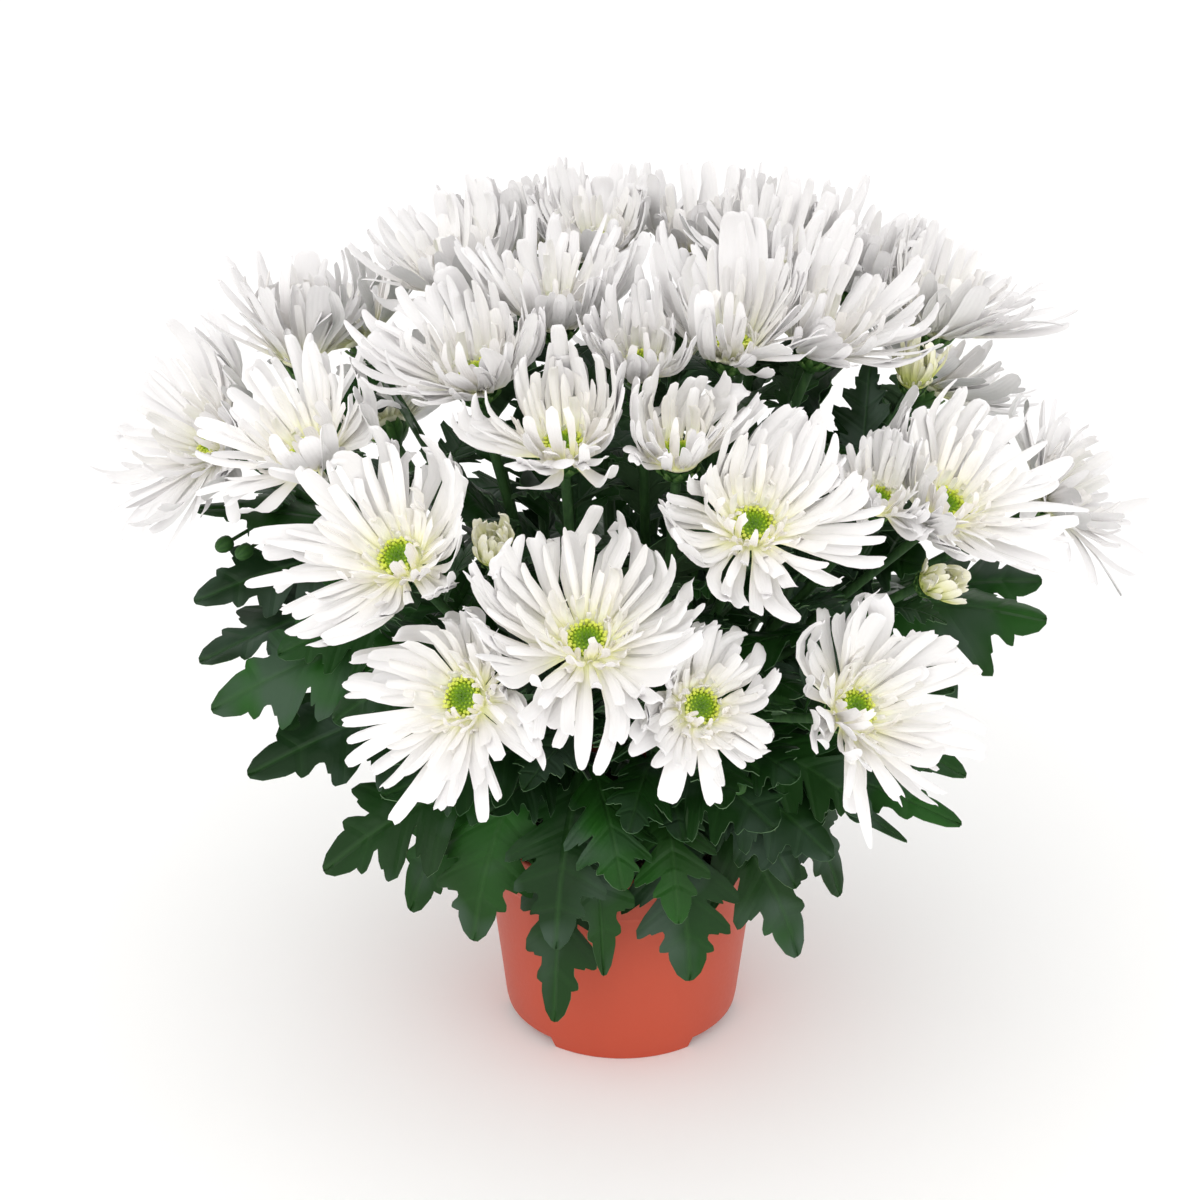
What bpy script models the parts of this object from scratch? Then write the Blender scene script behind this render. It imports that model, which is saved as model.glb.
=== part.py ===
"""Pot chrysanthemum: a nursery pot with soil and five leafy stems, and white spidery blooms.

Metres, +Z up. The origin is the middle of the pot's foot, on the surface that it stands on.
-Y is the front. Azimuths turn from the front to the right (+X), climbs rise from the horizon.
Each bloom's ring of white florets is its own object. It sits round the green neck of its stem,
so calyx, neck and disc belong to the stem that they grew on.
"""

import math
import random
from collections import namedtuple

import bmesh
import bpy
from mathutils import Quaternion, Vector
from mathutils.bvhtree import BVHTree
from mathutils.geometry import intersect_point_line

MM = 0.001
GAP = 0.3 * MM

# Pot
POT_HEIGHT = 92 * MM
RIM_RADIUS = 60 * MM
RIM_HEIGHT = 8 * MM
WALL_TOP_RADIUS = 57 * MM
FOOT_RADIUS = 47 * MM
FOOT_HEIGHT = 4.5 * MM
FOOT_WIDTH = 2.4 * MM
CORNER_HEIGHT = 12 * MM
CORNER_RADIUS = 48.8 * MM
WALL = 1.4 * MM
FLOOR = 2 * MM
POT_STEPS = 24
FOOT_COUNT = 3
NOTCH_ANGLE = 51
DRAIN_COUNT = 6
DRAIN_RADIUS = 4 * MM
DRAIN_RING = 31 * MM

# Soil
SOIL_DEPTH_BELOW_RIM = 10 * MM
SOIL_MOUND = 2 * MM
SOIL_STEPS = 18
HOLE_DEPTH = 34 * MM
HOLE_SPARE = 0.35 * MM

# Head of blooms: the green discs lie on this dome
DOME_CENTRE = Vector((0, 0, 165 * MM))
DOME_RADII = (170 * MM, 150 * MM, 170 * MM)

# One head, measured from its disc, for a head of scale 1
NECK_RADIUS = 3.7 * MM
DISC_RADIUS = 6.4 * MM
DISC_RISE = 3.4 * MM
RING_INNER = 4.1 * MM
RING_OUTER = 9.5 * MM
RING_DEPTH = 6 * MM
CALYX_RADIUS = 8 * MM
CALYX_TOP = 4 * MM
CALYX_BASE = 7 * MM
HEAD_DEPTH = 12 * MM
HEAD_SIDES = 6
ROOT_RADIUS = 7 * MM
ROOT_DEPTH = 1.6 * MM

# White florets
GOLDEN_ANGLE = math.radians(137.508)
FLORET_WIDTH = 7.2 * MM
FLORET_KEEL = 1.1 * MM
INNER_CLIMB = 78
OPEN_HEAD = 25
OPEN_STEEPNESS = 2.2
CUP_STEEPNESS = 1.4
SHORTENING = 2.4
INNER_NARROWING = 0.25

# Course of a floret: steps along it, and the steps where its blade has a section, each with its
# share of the width. A floret within STRAIGHT_WITHIN of a straight line takes the first list.
PATH_STEPS = 10
STRAIGHT_WITHIN = 2.5 * MM
STRAIGHT_SECTIONS = ((7, 1.0),)
BENT_SECTIONS = ((4, 0.72), (8, 1.0))

# Walls between neighbouring heads, which keep their florets apart
SEAT_SHARE = 0.3
HEAD_ROOM = 11 * MM
WALL_SOFTNESS = 16 * MM
WALL_CLEARANCE = 0.7 * MM
WALL_REACH = 140 * MM

# Stems and shoots
STEM_RADIUS = 3.2 * MM
STEM_TAPER = (0.9, 1.0, 0.7)
SHOOT_RADIUS = 1.8 * MM
SHOOT_TAPER = (1.2, 1.1, 1.0)
SHOOT_END = 4 * MM
STEM_RING = 24 * MM
STEM_FOOT = 50 * MM
STEM_TOP_RING = 30 * MM
STEM_TOP = 138 * MM
STEM_SIDES = 6
SHOOT_SIDES = 4
FORK_LOW = 0.1
FORK_HIGH = 0.97
FORK_STEP = 0.382
SHOOT_STEPS = (0.0, 0.5, 1.0)

# Leaves: the outline runs along the midrib, each point a share of the length and of half the width
LEAF_RIB = 1.3 * MM
LEAF_STALK = 0.9 * MM
LEAF_OUTLINE = ((0.38, 0.74), (0.47, 0.30), (0.68, 1.0), (0.77, 0.42), (0.90, 0.44))
LEAF_RIB_STEPS = (0.0, 0.18, 0.46, 0.76)
LEAF_SPARE = 0.5 * MM
LEAF_ROLL = 16
LEAF_TURN = 24
LEAF_FOLD = (-0.3, 0.12)
SWINGS = (0, 7, -7, 14, -14, 22, -22, 30, -30)
DIPS = (0, 6, -6, 12, -12, 18, -18, 26, -26, 34)

# Closed green buds
BUD_RADIUS = 3 * MM
BUD_LENGTH = 8 * MM
BUD_SIDES = 5

Bloom = namedtuple("Bloom", "azimuth climb lift face_azimuth face_climb petal opening scale florets")
Leaf = namedtuple(
    "Leaf", "root_azimuth root_radius root_height tip_azimuth tip_radius tip_height arch width"
)

# Blooms, front rows first: place on the dome in degrees, lift off the dome in mm,
# the way the disc faces in degrees, floret length in mm, opening of the outer florets in degrees,
# scale of the head, number of florets
BLOOMS = {
    "bloom_01": Bloom(-5, 24, 0, 0, 60, 58, 10, 1.0, 17),
    "bloom_02": Bloom(-20, 16, 0, -32, 34, 45, 8, 1.0, 15),
    "bloom_03": Bloom(9, 16, 0, 25, 36, 32, 14, 0.9, 13),
    "bloom_04": Bloom(19, 37, 0, 8, 55, 50, 10, 1.0, 16),
    "bloom_05": Bloom(-33, 31, 0, -30, 52, 52, 10, 1.0, 17),
    "bloom_06": Bloom(-11, 48, 0, -10, 76, 43, 28, 1.0, 15),
    "bloom_07": Bloom(9, 47, 0, 12, 78, 36, 38, 0.9, 13),
    "bloom_08": Bloom(54, 33, 0, 42, 58, 50, 14, 1.0, 16),
    "bloom_09": Bloom(90, 21, 8, 80, 38, 37, 28, 1.0, 15),
    "bloom_10": Bloom(29, 13, 0, 42, 38, 46, 26, 1.0, 16),
    "bloom_11": Bloom(-20, 34, -6, -10, 65, 15, 66, 0.6, 9),
    "bloom_12": Bloom(47, 25, -4, 55, 32, 14, 64, 0.6, 9),
    "bloom_13": Bloom(42, 37, -2, 42, 70, 26, 30, 0.8, 12),
    "bloom_14": Bloom(-96, 27, 9, -62, 38, 53, 14, 1.0, 17),
    "bloom_15": Bloom(-60, 39, 0, -48, 60, 42, 28, 1.0, 14),
    "bloom_16": Bloom(-96, 44, 2, -95, 84, 43, 60, 1.0, 14),
    "bloom_17": Bloom(-34, 56, 0, -32, 78, 48, 24, 1.0, 15),
    "bloom_18": Bloom(-94, 67, -6, -80, 78, 40, 26, 1.0, 14),
    "bloom_19": Bloom(-25, 69, -2, -20, 80, 44, 24, 1.0, 14),
    "bloom_20": Bloom(-160, 79, -10, 0, 82, 38, 24, 1.0, 14),
    "bloom_21": Bloom(4, 60, 0, 0, 66, 33, 36, 0.8, 12),
    "bloom_22": Bloom(28, 62, 0, 18, 80, 50, 28, 1.0, 15),
    "bloom_23": Bloom(53, 59, 0, 55, 74, 50, 24, 1.0, 15),
    "bloom_24": Bloom(142, 75, -8, 20, 86, 36, 26, 1.0, 14),
    "bloom_25": Bloom(84, 71, -4, 60, 80, 40, 26, 1.0, 14),
    "bloom_26": Bloom(96, 48, 8, 84, 78, 50, 20, 1.0, 15),
    "bloom_27": Bloom(72, 48, -2, 66, 84, 17, 72, 0.6, 9),
    "bloom_28": Bloom(108, 57, 2, 100, 76, 39, 26, 1.0, 13),
    "bloom_29": Bloom(-140, 66, -6, -130, 80, 37, 28, 1.0, 13),
    "bloom_30": Bloom(132, 61, -4, 130, 80, 38, 28, 1.0, 13),
    "bloom_31": Bloom(-172, 54, 0, -175, 68, 44, 24, 1.0, 12),
    "bloom_32": Bloom(-128, 38, 0, -125, 56, 46, 22, 1.0, 12),
    "bloom_33": Bloom(153, 40, 0, 152, 58, 46, 22, 1.0, 12),
    "bloom_34": Bloom(172, 22, 3, 174, 42, 54, 14, 1.0, 14),
    "bloom_35": Bloom(-142, 17, 0, -145, 40, 46, 14, 1.0, 14),
    "bloom_36": Bloom(122, 30, 0, 120, 50, 44, 16, 1.0, 13),
    "bloom_37": Bloom(-164, 30, -2, -160, 56, 24, 40, 0.8, 11),
}

# The five rooted stems: azimuth of each, and the azimuth where its share of the head ends
START_AZIMUTH = -70
STEMS = {
    "leafy_stem_front_left": (-34, 0),
    "leafy_stem_front_right": (30, 63),
    "leafy_stem_right": (96, 138),
    "leafy_stem_back": (176, 215),
    "leafy_stem_left": (252, 290),
}

# Leaves in view: where the stalk joins its shoot and where the tip ends, as azimuth in degrees,
# radius and height in mm, then the arch of the midrib and the width, in mm
LEAVES = {
    "leafy_stem_front_left": [
        Leaf(-17, 48, 145, -16, 94, 80, 20, 50),
        Leaf(-22, 45, 118, -19, 83, 39, 26, 40),
        Leaf(-8, 45, 115, -6, 80, 60, 24, 30),
        Leaf(-10, 50, 140, -1, 89, 103, 16, 36),
        Leaf(-46, 64, 126, -62, 132, 98, 14, 54),
        Leaf(-38, 62, 140, -40, 97, 76, 20, 48),
        Leaf(-15, 62, 158, -39, 141, 158, 8, 46),
        Leaf(-58, 80, 150, -69, 155, 137, 10, 50),
        Leaf(-60, 85, 178, -74, 165, 160, 10, 52),
        Leaf(-50, 85, 190, -52, 137, 176, 12, 46),
        Leaf(-50, 45, 230, -44, 83, 282, 6, 36),
        Leaf(-56, 50, 230, -54, 92, 272, 5, 40),
        Leaf(-14, 42, 140, -34, 90, 126, 12, 40),
        Leaf(-3, 40, 138, -5, 84, 116, 14, 40),
        Leaf(-4, 40, 180, -4, 92, 160, 6, 38),
        Leaf(-62, 78, 195, -70, 140, 185, 10, 46),
        Leaf(-45, 72, 200, -52, 118, 200, 8, 42),
        Leaf(-40, 66, 160, -46, 120, 150, 12, 44),
        Leaf(-2, 45, 225, 0, 85, 245, 6, 36),
        Leaf(-8, 45, 255, -10, 66, 300, 5, 34),
    ],
    "leafy_stem_front_right": [
        Leaf(6, 45, 142, 29, 115, 139, 12, 48),
        Leaf(12, 42, 112, 18, 84, 59, 26, 48),
        Leaf(8, 45, 125, 5, 92, 92, 20, 38),
        Leaf(3, 50, 150, 1, 105, 140, 8, 30),
        Leaf(30, 42, 115, 48, 93, 59, 24, 46),
        Leaf(32, 45, 122, 43, 98, 96, 18, 44),
        Leaf(36, 50, 125, 43, 116, 117, 12, 40),
        Leaf(45, 55, 140, 52, 114, 114, 14, 38),
        Leaf(32, 55, 150, 37, 107, 141, 8, 36),
        Leaf(50, 66, 132, 55, 132, 119, 8, 24),
        Leaf(52, 64, 128, 65, 141, 107, 10, 36),
        Leaf(45, 70, 215, 41, 105, 222, 8, 34),
        Leaf(8, 50, 235, 12, 61, 282, 6, 30),
        Leaf(12, 40, 136, 16, 84, 122, 12, 40),
        Leaf(8, 48, 168, 12, 99, 152, 8, 40),
        Leaf(32, 58, 195, 36, 112, 190, 8, 42),
        Leaf(50, 70, 190, 52, 124, 185, 8, 46),
        Leaf(38, 50, 250, 45, 90, 290, 5, 38),
    ],
    "leafy_stem_right": [
        Leaf(64, 70, 165, 68, 136, 171, 8, 44),
        Leaf(66, 70, 140, 71, 141, 131, 10, 46),
        Leaf(78, 80, 185, 83, 165, 176, 10, 56),
        Leaf(92, 90, 180, 95, 168, 187, 8, 44),
        Leaf(85, 50, 235, 83, 79, 280, 6, 40),
        Leaf(62, 50, 245, 74, 98, 286, 5, 40),
        Leaf(64, 62, 212, 68, 122, 222, 8, 44),
    ],
    "leafy_stem_back": [],
    "leafy_stem_left": [
        Leaf(-80, 90, 185, -83, 167, 168, 10, 50),
        Leaf(-78, 80, 150, -78, 139, 138, 10, 44),
        Leaf(-84, 90, 195, -86, 168, 190, 8, 42),
        Leaf(-90, 95, 200, -93, 171, 207, 8, 36),
        Leaf(-74, 80, 200, -81, 126, 216, 8, 34),
    ],
}

# Tiers of leaves round the sides and the back: first and last azimuth, count, then as in LEAVES
# the root's radius and height, the tip's radius and height, the arch and the width
LEAF_TIERS = (
    (76, 284, 8, 42, 116, 86, 58, 26, 48),
    (94, 266, 7, 60, 140, 132, 108, 14, 48),
    (116, 250, 5, 72, 168, 142, 160, 10, 46),
    (15, 355, 7, 22, 205, 62, 248, 10, 42),
)

# Closed green buds: root and tip of the stalk as in LEAVES
BUDS = {
    "leafy_stem_left": ((-92, 135, 208, -86, 158, 212), (-88, 130, 205, -84, 150, 211)),
    "leafy_stem_front_right": ((25, 85, 146, 24, 106, 152),),
}


def clear_scene():
    """Remove what the file holds, so that the script can be run again."""
    for item in list(bpy.data.objects):
        bpy.data.objects.remove(item, do_unlink=True)


def material(name, colour, roughness, metallic=0.0):
    """Principled material with the given linear colour."""
    found = bpy.data.materials.get(name) or bpy.data.materials.new(name)
    found.use_nodes = True
    shader = found.node_tree.nodes["Principled BSDF"]
    shader.inputs["Base Color"].default_value = (*colour, 1.0)
    shader.inputs["Roughness"].default_value = roughness
    shader.inputs["Metallic"].default_value = metallic
    return found


def towards(azimuth, climb=0.0):
    """Unit vector at an azimuth from the front and a climb from the horizon, in degrees."""
    a = math.radians(azimuth)
    c = math.radians(climb)
    return Vector((math.cos(c) * math.sin(a), -math.cos(c) * math.cos(a), math.sin(c)))


def cylinder_point(azimuth, radius, height):
    """Point given by azimuth in degrees and by radius and height in mm."""
    return towards(azimuth) * radius * MM + Vector((0, 0, height * MM))


def bezier(points, t):
    """Point of the Bezier curve with these control points."""
    work = list(points)
    while len(work) > 1:
        work = [a.lerp(b, t) for a, b in zip(work, work[1:])]
    return work[0]


class Head:
    """Place and frame of one bloom's disc, with the walls that part it from its neighbours."""

    def __init__(self, number, bloom):
        out = towards(bloom.azimuth, bloom.climb)
        radii = Vector([radius + bloom.lift * MM for radius in DOME_RADII])
        self.number = number
        self.bloom = bloom
        self.disc = DOME_CENTRE + Vector([r * o for r, o in zip(radii, out)])
        self.axis = towards(bloom.face_azimuth, bloom.face_climb)
        self.across = self.axis.cross(Vector((0, 0, 1))).normalized()
        self.over = self.across.cross(self.axis)
        self.seat = self.disc + self.axis * bloom.petal * MM * SEAT_SHARE
        self.walls = []

    def at(self, angle, radius, height):
        """Point round the head's axis, height above the top of the floret ring."""
        out = self.across * math.cos(angle) + self.over * math.sin(angle)
        return self.disc + (out * radius + self.axis * height) * self.bloom.scale

    def part_from(self, other):
        """Add the wall half way to another head, shifted towards the smaller one."""
        line = other.seat - self.seat
        length = line.length
        mine = (self.bloom.petal * MM * 0.5) ** 2
        theirs = (other.bloom.petal * MM * 0.5) ** 2
        reach = length / 2 + (mine - theirs) / (2 * length)
        least = HEAD_ROOM * self.bloom.scale + (self.disc - self.seat).dot(line) / length
        most = length - HEAD_ROOM * other.bloom.scale - (other.seat - other.disc).dot(line) / length
        reach = min(max(reach, least), most)
        self.walls.append((self.seat + line * reach / length, -line / length))


def steer(point, way, side, half_width, walls):
    """Bend a floret's way so that it runs along a wall instead of through it."""
    for _ in range(3):
        for wall, inward in walls:
            room = (point - wall).dot(inward)
            if room > 2 * WALL_SOFTNESS + half_width:
                continue
            room -= WALL_CLEARANCE + half_width * abs(side.dot(inward))
            slack = way.dot(inward) + room / WALL_SOFTNESS
            if slack < 0:
                way = way - inward * slack
        way = way.normalized()
    return way


def floret_path(head, angle, climb, bend, length, width):
    """Centre line of a floret, from its root in the ring to its tip."""
    radial = head.across * math.cos(angle) + head.over * math.sin(angle)
    side = head.axis.cross(radial)
    point = head.at(angle, ROOT_RADIUS, -ROOT_DEPTH)
    points = [point]
    for step in range(PATH_STEPS):
        along = (step + 0.5) / PATH_STEPS
        rise = math.radians(climb + bend * along)
        way = radial * math.cos(rise) + head.axis * math.sin(rise)
        way = steer(point, way, side, width * 0.5 * min(1.0, along * 1.6), head.walls)
        point = point + way * length / PATH_STEPS
        points.append(point)
    return points


def leading_florets(head):
    """Angle, climb, bend, length and width of each floret, from the outer layer inwards."""
    chance = random.Random(100 + head.number)
    bloom = head.bloom
    inner_share = 0.30 + 0.006 * bloom.opening
    steepness = OPEN_STEEPNESS if bloom.opening < OPEN_HEAD else CUP_STEEPNESS
    count = bloom.florets
    for index in range(count):
        layer = index / (count - 1)
        angle = index * GOLDEN_ANGLE + chance.uniform(-0.12, 0.12)
        climb = bloom.opening + (INNER_CLIMB - bloom.opening) * layer ** steepness
        climb += chance.uniform(-4, 4)
        bend = chance.uniform(-8, 16) * (1 - layer)
        length = bloom.petal * MM * (1 - (1 - inner_share) * layer ** SHORTENING)
        length *= chance.uniform(0.9, 1.04)
        width = FLORET_WIDTH * bloom.scale * (1 - INNER_NARROWING * layer) * chance.uniform(0.85, 1.15)
        yield angle, climb, bend, length, width


def closed_piece(name, points, faces):
    """Object with a closed mesh whose faces point out."""
    mesh = bpy.data.meshes.new(name)
    mesh.from_pydata(points, [], faces)
    work = bmesh.new()
    work.from_mesh(mesh)
    bmesh.ops.recalc_face_normals(work, faces=work.faces)
    bmesh.ops.triangulate(work, faces=work.faces)
    work.to_mesh(mesh)
    work.free()
    item = bpy.data.objects.new(name, mesh)
    bpy.context.scene.collection.objects.link(item)
    return item


def loft(name, rings, tip=None, root=None):
    """Tube through rings of equal count, each end flat or drawn to a point."""
    sides = len(rings[0])
    points = [point for ring in rings for point in ring]
    faces = []
    for low in range(len(rings) - 1):
        for side in range(sides):
            after = (side + 1) % sides
            a = low * sides
            faces.append((a + side, a + after, a + sides + after, a + sides + side))
    for start, end in ((0, root), ((len(rings) - 1) * sides, tip)):
        if end is None:
            faces.append(tuple(range(start, start + sides)))
            continue
        points.append(end)
        for side in range(sides):
            faces.append((start + side, start + (side + 1) % sides, len(points) - 1))
    return closed_piece(name, points, faces)


def turned(head, profile):
    """Rings round a head's axis at radius and height pairs."""
    turns = [math.tau * side / HEAD_SIDES for side in range(HEAD_SIDES)]
    return [[head.at(angle, radius, height) for angle in turns] for radius, height in profile]


def fuse(name, pieces, finish):
    """Join overlapping pieces into one object by a Boolean union on their collection."""
    base = pieces[0]
    base.name = name
    base.data.name = name
    others = bpy.data.collections.new(name + "_repeats")
    bpy.context.scene.collection.children.link(others)
    for piece in pieces[1:]:
        bpy.context.scene.collection.objects.unlink(piece)
        others.objects.link(piece)
    union = base.modifiers.new("Union", "BOOLEAN")
    union.operation = "UNION"
    union.operand_type = "COLLECTION"
    union.collection = others
    union.solver = "MANIFOLD"
    apply_modifiers(base)
    for piece in list(others.objects):
        bpy.data.objects.remove(piece, do_unlink=True)
    bpy.data.collections.remove(others)
    base.data.materials.clear()
    base.data.materials.append(finish)
    return base


def apply_modifiers(item):
    """Replace an object's mesh by its evaluated one."""
    graph = bpy.context.evaluated_depsgraph_get()
    mesh = bpy.data.meshes.new_from_object(item.evaluated_get(graph))
    item.modifiers.clear()
    old = item.data
    item.data = mesh
    mesh.name = item.name
    bpy.data.meshes.remove(old)


def floret(head, angle, climb, bend, length, width):
    """White floret: a keeled blade, pointed at root and tip, with an extra section where it bends."""
    path = floret_path(head, angle, climb, bend, length, width)
    radial = head.across * math.cos(angle) + head.over * math.sin(angle)
    tangent = head.axis.cross(radial)
    low = BENT_SECTIONS[0][0]
    high = STRAIGHT_SECTIONS[0][0]
    sections = STRAIGHT_SECTIONS
    if (path[low] - path[0].lerp(path[high], low / high)).length > STRAIGHT_WITHIN:
        sections = BENT_SECTIONS
    rings = []
    for step, share in sections:
        way = (path[step + 1] - path[step - 1]).normalized()
        side = (tangent - way * tangent.dot(way)).normalized()
        half = side * width * share * 0.5
        keel = way.cross(side) * FLORET_KEEL
        rings.append([path[step] + half, path[step] - keel, path[step] - half])
    return loft("floret", rings, path[-1], path[0])


def floret_ring(name, head, finish):
    """One bloom's white florets in layers, rooted in the small ring round the neck."""
    rings = turned(head, [(RING_INNER, 0.0), (RING_OUTER, -1 * MM), (RING_INNER, -RING_DEPTH)])
    points = [point for ring in rings for point in ring]
    faces = []
    for level in range(3):
        here = level * HEAD_SIDES
        there = (level + 1) % 3 * HEAD_SIDES
        for side in range(HEAD_SIDES):
            after = (side + 1) % HEAD_SIDES
            faces.append((here + side, here + after, there + after, there + side))
    pieces = [closed_piece("ring", points, faces)]
    for values in leading_florets(head):
        pieces.append(floret(head, *values))
    return fuse(name, pieces, finish)


def shoot_line(start, head):
    """Points of the shoot that carries a head, from its fork to the calyx."""
    end = head.disc - head.axis * HEAD_DEPTH * head.bloom.scale
    reach = (end - start).length
    outward = Vector((end.x - start.x, end.y - start.y, 0)) * 0.5
    rise = (outward + Vector((0, 0, reach))).normalized()
    curve = [start, start + rise * reach * 0.35, end - head.axis * reach * 0.33, end]
    return [bezier(curve, t) for t in SHOOT_STEPS]


def tube(name, line, radii, sides):
    """Tube of few sides along a line of points."""
    rings = []
    across = Vector((1, 0, 0))
    for step, (centre, radius) in enumerate(zip(line, radii)):
        way = (line[min(step + 1, len(line) - 1)] - line[max(step - 1, 0)]).normalized()
        across = (across - way * across.dot(way)).normalized()
        over = way.cross(across)
        turns = [math.tau * side / sides for side in range(sides)]
        rings.append([centre + (across * math.cos(a) + over * math.sin(a)) * radius for a in turns])
    return loft(name, rings)


def calyx(head):
    """Green cup under a head, with the neck through its ring of florets and the disc on top."""
    profile = [
        (CALYX_RADIUS, -CALYX_TOP),
        (NECK_RADIUS, -CALYX_BASE),
        (NECK_RADIUS, GAP),
        (DISC_RADIUS, GAP * 2),
    ]
    return loft("calyx", turned(head, profile), head.at(0, 0, DISC_RISE), head.at(0, 0, -HEAD_DEPTH))


def shoot(line, head):
    """Side shoot that ends inside its head's calyx."""
    radii = [SHOOT_RADIUS * share for share in SHOOT_TAPER]
    end = line[-1] + head.axis * SHOOT_END * head.bloom.scale
    return tube("shoot", line[:-1] + [end], radii, SHOOT_SIDES)


def stem_line(azimuth):
    """Points of a rooted stem: its foot in the soil, a point above the soil and its top."""
    out = towards(azimuth)
    return [
        out * STEM_RING + Vector((0, 0, STEM_FOOT)),
        out * STEM_RING + Vector((0, 0, POT_HEIGHT + 4 * MM)),
        out * STEM_TOP_RING + Vector((0, 0, STEM_TOP)),
    ]


def main_stem(azimuth):
    """Rooted stem from the soil up to where its shoots part."""
    rings = []
    for centre, share in zip(stem_line(azimuth), STEM_TAPER):
        turns = [azimuth + 360 * side / STEM_SIDES for side in range(STEM_SIDES)]
        rings.append([centre + towards(turn) * STEM_RADIUS * share for turn in turns])
    return loft("stem", rings)


def nearest_on(lines, place):
    """Point of the shoots that lies nearest to a place."""
    found = []
    for line in lines:
        for start, end in zip(line, line[1:]):
            _, along = intersect_point_line(place, start, end)
            found.append(start.lerp(end, min(max(along, 0.08), 0.85)))
    return min(found, key=lambda point: (point - place).length)


def leaf_curve(leaf, root, swing, dip):
    """Control points of a leaf's midrib, swung about the vertical and dipped at its root."""
    tip = cylinder_point(leaf.tip_azimuth, leaf.tip_radius, leaf.tip_height)
    chord = tip - root
    level = chord.cross(Vector((0, 0, 1))).normalized()
    turn = Quaternion((0, 0, 1), math.radians(swing)) @ Quaternion(level, math.radians(dip))
    chord = turn @ chord
    lift = (Vector((0, 0, 1)) - chord * chord.z / chord.length_squared).normalized()
    return [root, root + chord * 0.5 + lift * leaf.arch * MM, root + chord]


def leaf_blade(leaf, curve, roll, fold, spare=0.0, first=0):
    """Lobed leaf with its stalk: a thin lens with a raised midrib and a sharp edge."""
    chord = (curve[2] - curve[0]).normalized()
    lift = (curve[1] - (curve[0] + curve[2]) / 2).normalized()
    lift = Quaternion(chord, math.radians(roll)) @ lift
    side = chord.cross(lift)
    half = leaf.width * MM * 0.5

    def surface(along, share):
        centre = bezier(curve, along)
        return centre + side * half * share + lift * half * abs(share) * fold

    steps = LEAF_RIB_STEPS[first:] + (1.0,)
    stalk = (LEAF_STALK + spare) / half
    outline = [(step, stalk) for step in LEAF_RIB_STEPS[first:2]]
    outline += [(along, share + spare / half) for along, share in LEAF_OUTLINE]
    points = []
    for way in (1, -1):
        points += [surface(along, way * share) for along, share in outline]
    points.append(surface(1.0, 0.0))
    rib = LEAF_RIB * 0.5 + spare
    for way in (1, -1):
        points += [surface(step, 0.0) + lift * rib * way for step in steps[:-1]]
    edge = len(outline)
    tip = 2 * edge
    ribs = len(steps) - 1
    faces = []
    for face_side in range(2):
        spine = [tip + 1 + face_side * ribs + k for k in range(ribs)] + [tip]
        for edge_side in range(2):
            rim = [edge_side * edge + k for k in range(edge)] + [tip]
            faces += strip(spine, steps, rim, [along for along, _ in outline] + [1.0])
    top, bottom = tip + 1, tip + 1 + ribs
    faces += [(0, top, bottom), (edge, top, bottom)]
    return closed_piece("leaf", points, faces)


def strip(spine, spine_at, rim, rim_at):
    """Triangles between two lines of points that end in the same point."""
    faces = []
    i = j = 0
    while i < len(spine) - 1 or j < len(rim) - 1:
        spine_next = spine_at[i + 1] if i < len(spine) - 1 else 9
        rim_next = rim_at[j + 1] if j < len(rim) - 1 else 9
        if rim_next <= spine_next:
            if spine[i] != rim[j + 1]:
                faces.append((spine[i], rim[j], rim[j + 1]))
            j += 1
        else:
            if spine[i + 1] != rim[j]:
                faces.append((spine[i], rim[j], spine[i + 1]))
            i += 1
    return faces


def tree_of(item):
    """Search tree of an object's triangles."""
    work = bmesh.new()
    work.from_mesh(item.data)
    tree = BVHTree.FromBMesh(work)
    work.free()
    return tree


def drop(item):
    """Remove an object that only served a test."""
    bpy.data.objects.remove(item, do_unlink=True)


def clear_leaf(leaf, root, number, others, own):
    """Leaf at the first swing and dip where it clears every other piece, or None."""
    chance = random.Random(300 + number)
    roll = chance.uniform(-LEAF_ROLL, LEAF_ROLL)
    roll += LEAF_TURN * math.sin(math.radians(leaf.tip_azimuth))
    fold = chance.uniform(*LEAF_FOLD)
    poses = [(swing, dip) for swing in SWINGS for dip in DIPS]
    poses.sort(key=lambda pose: abs(pose[0]) + abs(pose[1]))
    for swing, dip in poses:
        curve = leaf_curve(leaf, root, swing, dip)
        whole = leaf_blade(leaf, curve, roll, fold, LEAF_SPARE)
        blade = leaf_blade(leaf, curve, roll, fold, LEAF_SPARE, 1)
        whole_tree, blade_tree = tree_of(whole), tree_of(blade)
        drop(whole)
        drop(blade)
        if any(whole_tree.overlap(tree) for tree in others):
            continue
        if any(blade_tree.overlap(tree) for tree in own):
            continue
        return leaf_blade(leaf, curve, roll, fold)
    return None


def bud(root, tip):
    """Closed green bud on its thin stalk."""
    way = (tip - root).normalized()
    across = way.orthogonal().normalized()
    over = way.cross(across)
    rings = []
    for place, radius in (
        (root, 0.7 * MM),
        (tip - way * BUD_LENGTH, 0.8 * MM),
        (tip - way * BUD_LENGTH * 0.6, BUD_RADIUS),
        (tip - way * BUD_LENGTH * 0.3, BUD_RADIUS * 0.9),
    ):
        turns = [math.tau * side / BUD_SIDES for side in range(BUD_SIDES)]
        rings.append([place + (across * math.cos(a) + over * math.sin(a)) * radius for a in turns])
    return loft("bud", rings, tip)


def share_of(start, end, azimuth):
    """True where an azimuth lies in a stem's share of the head."""
    return (azimuth - start) % 360 < (end - start) % 360


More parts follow.
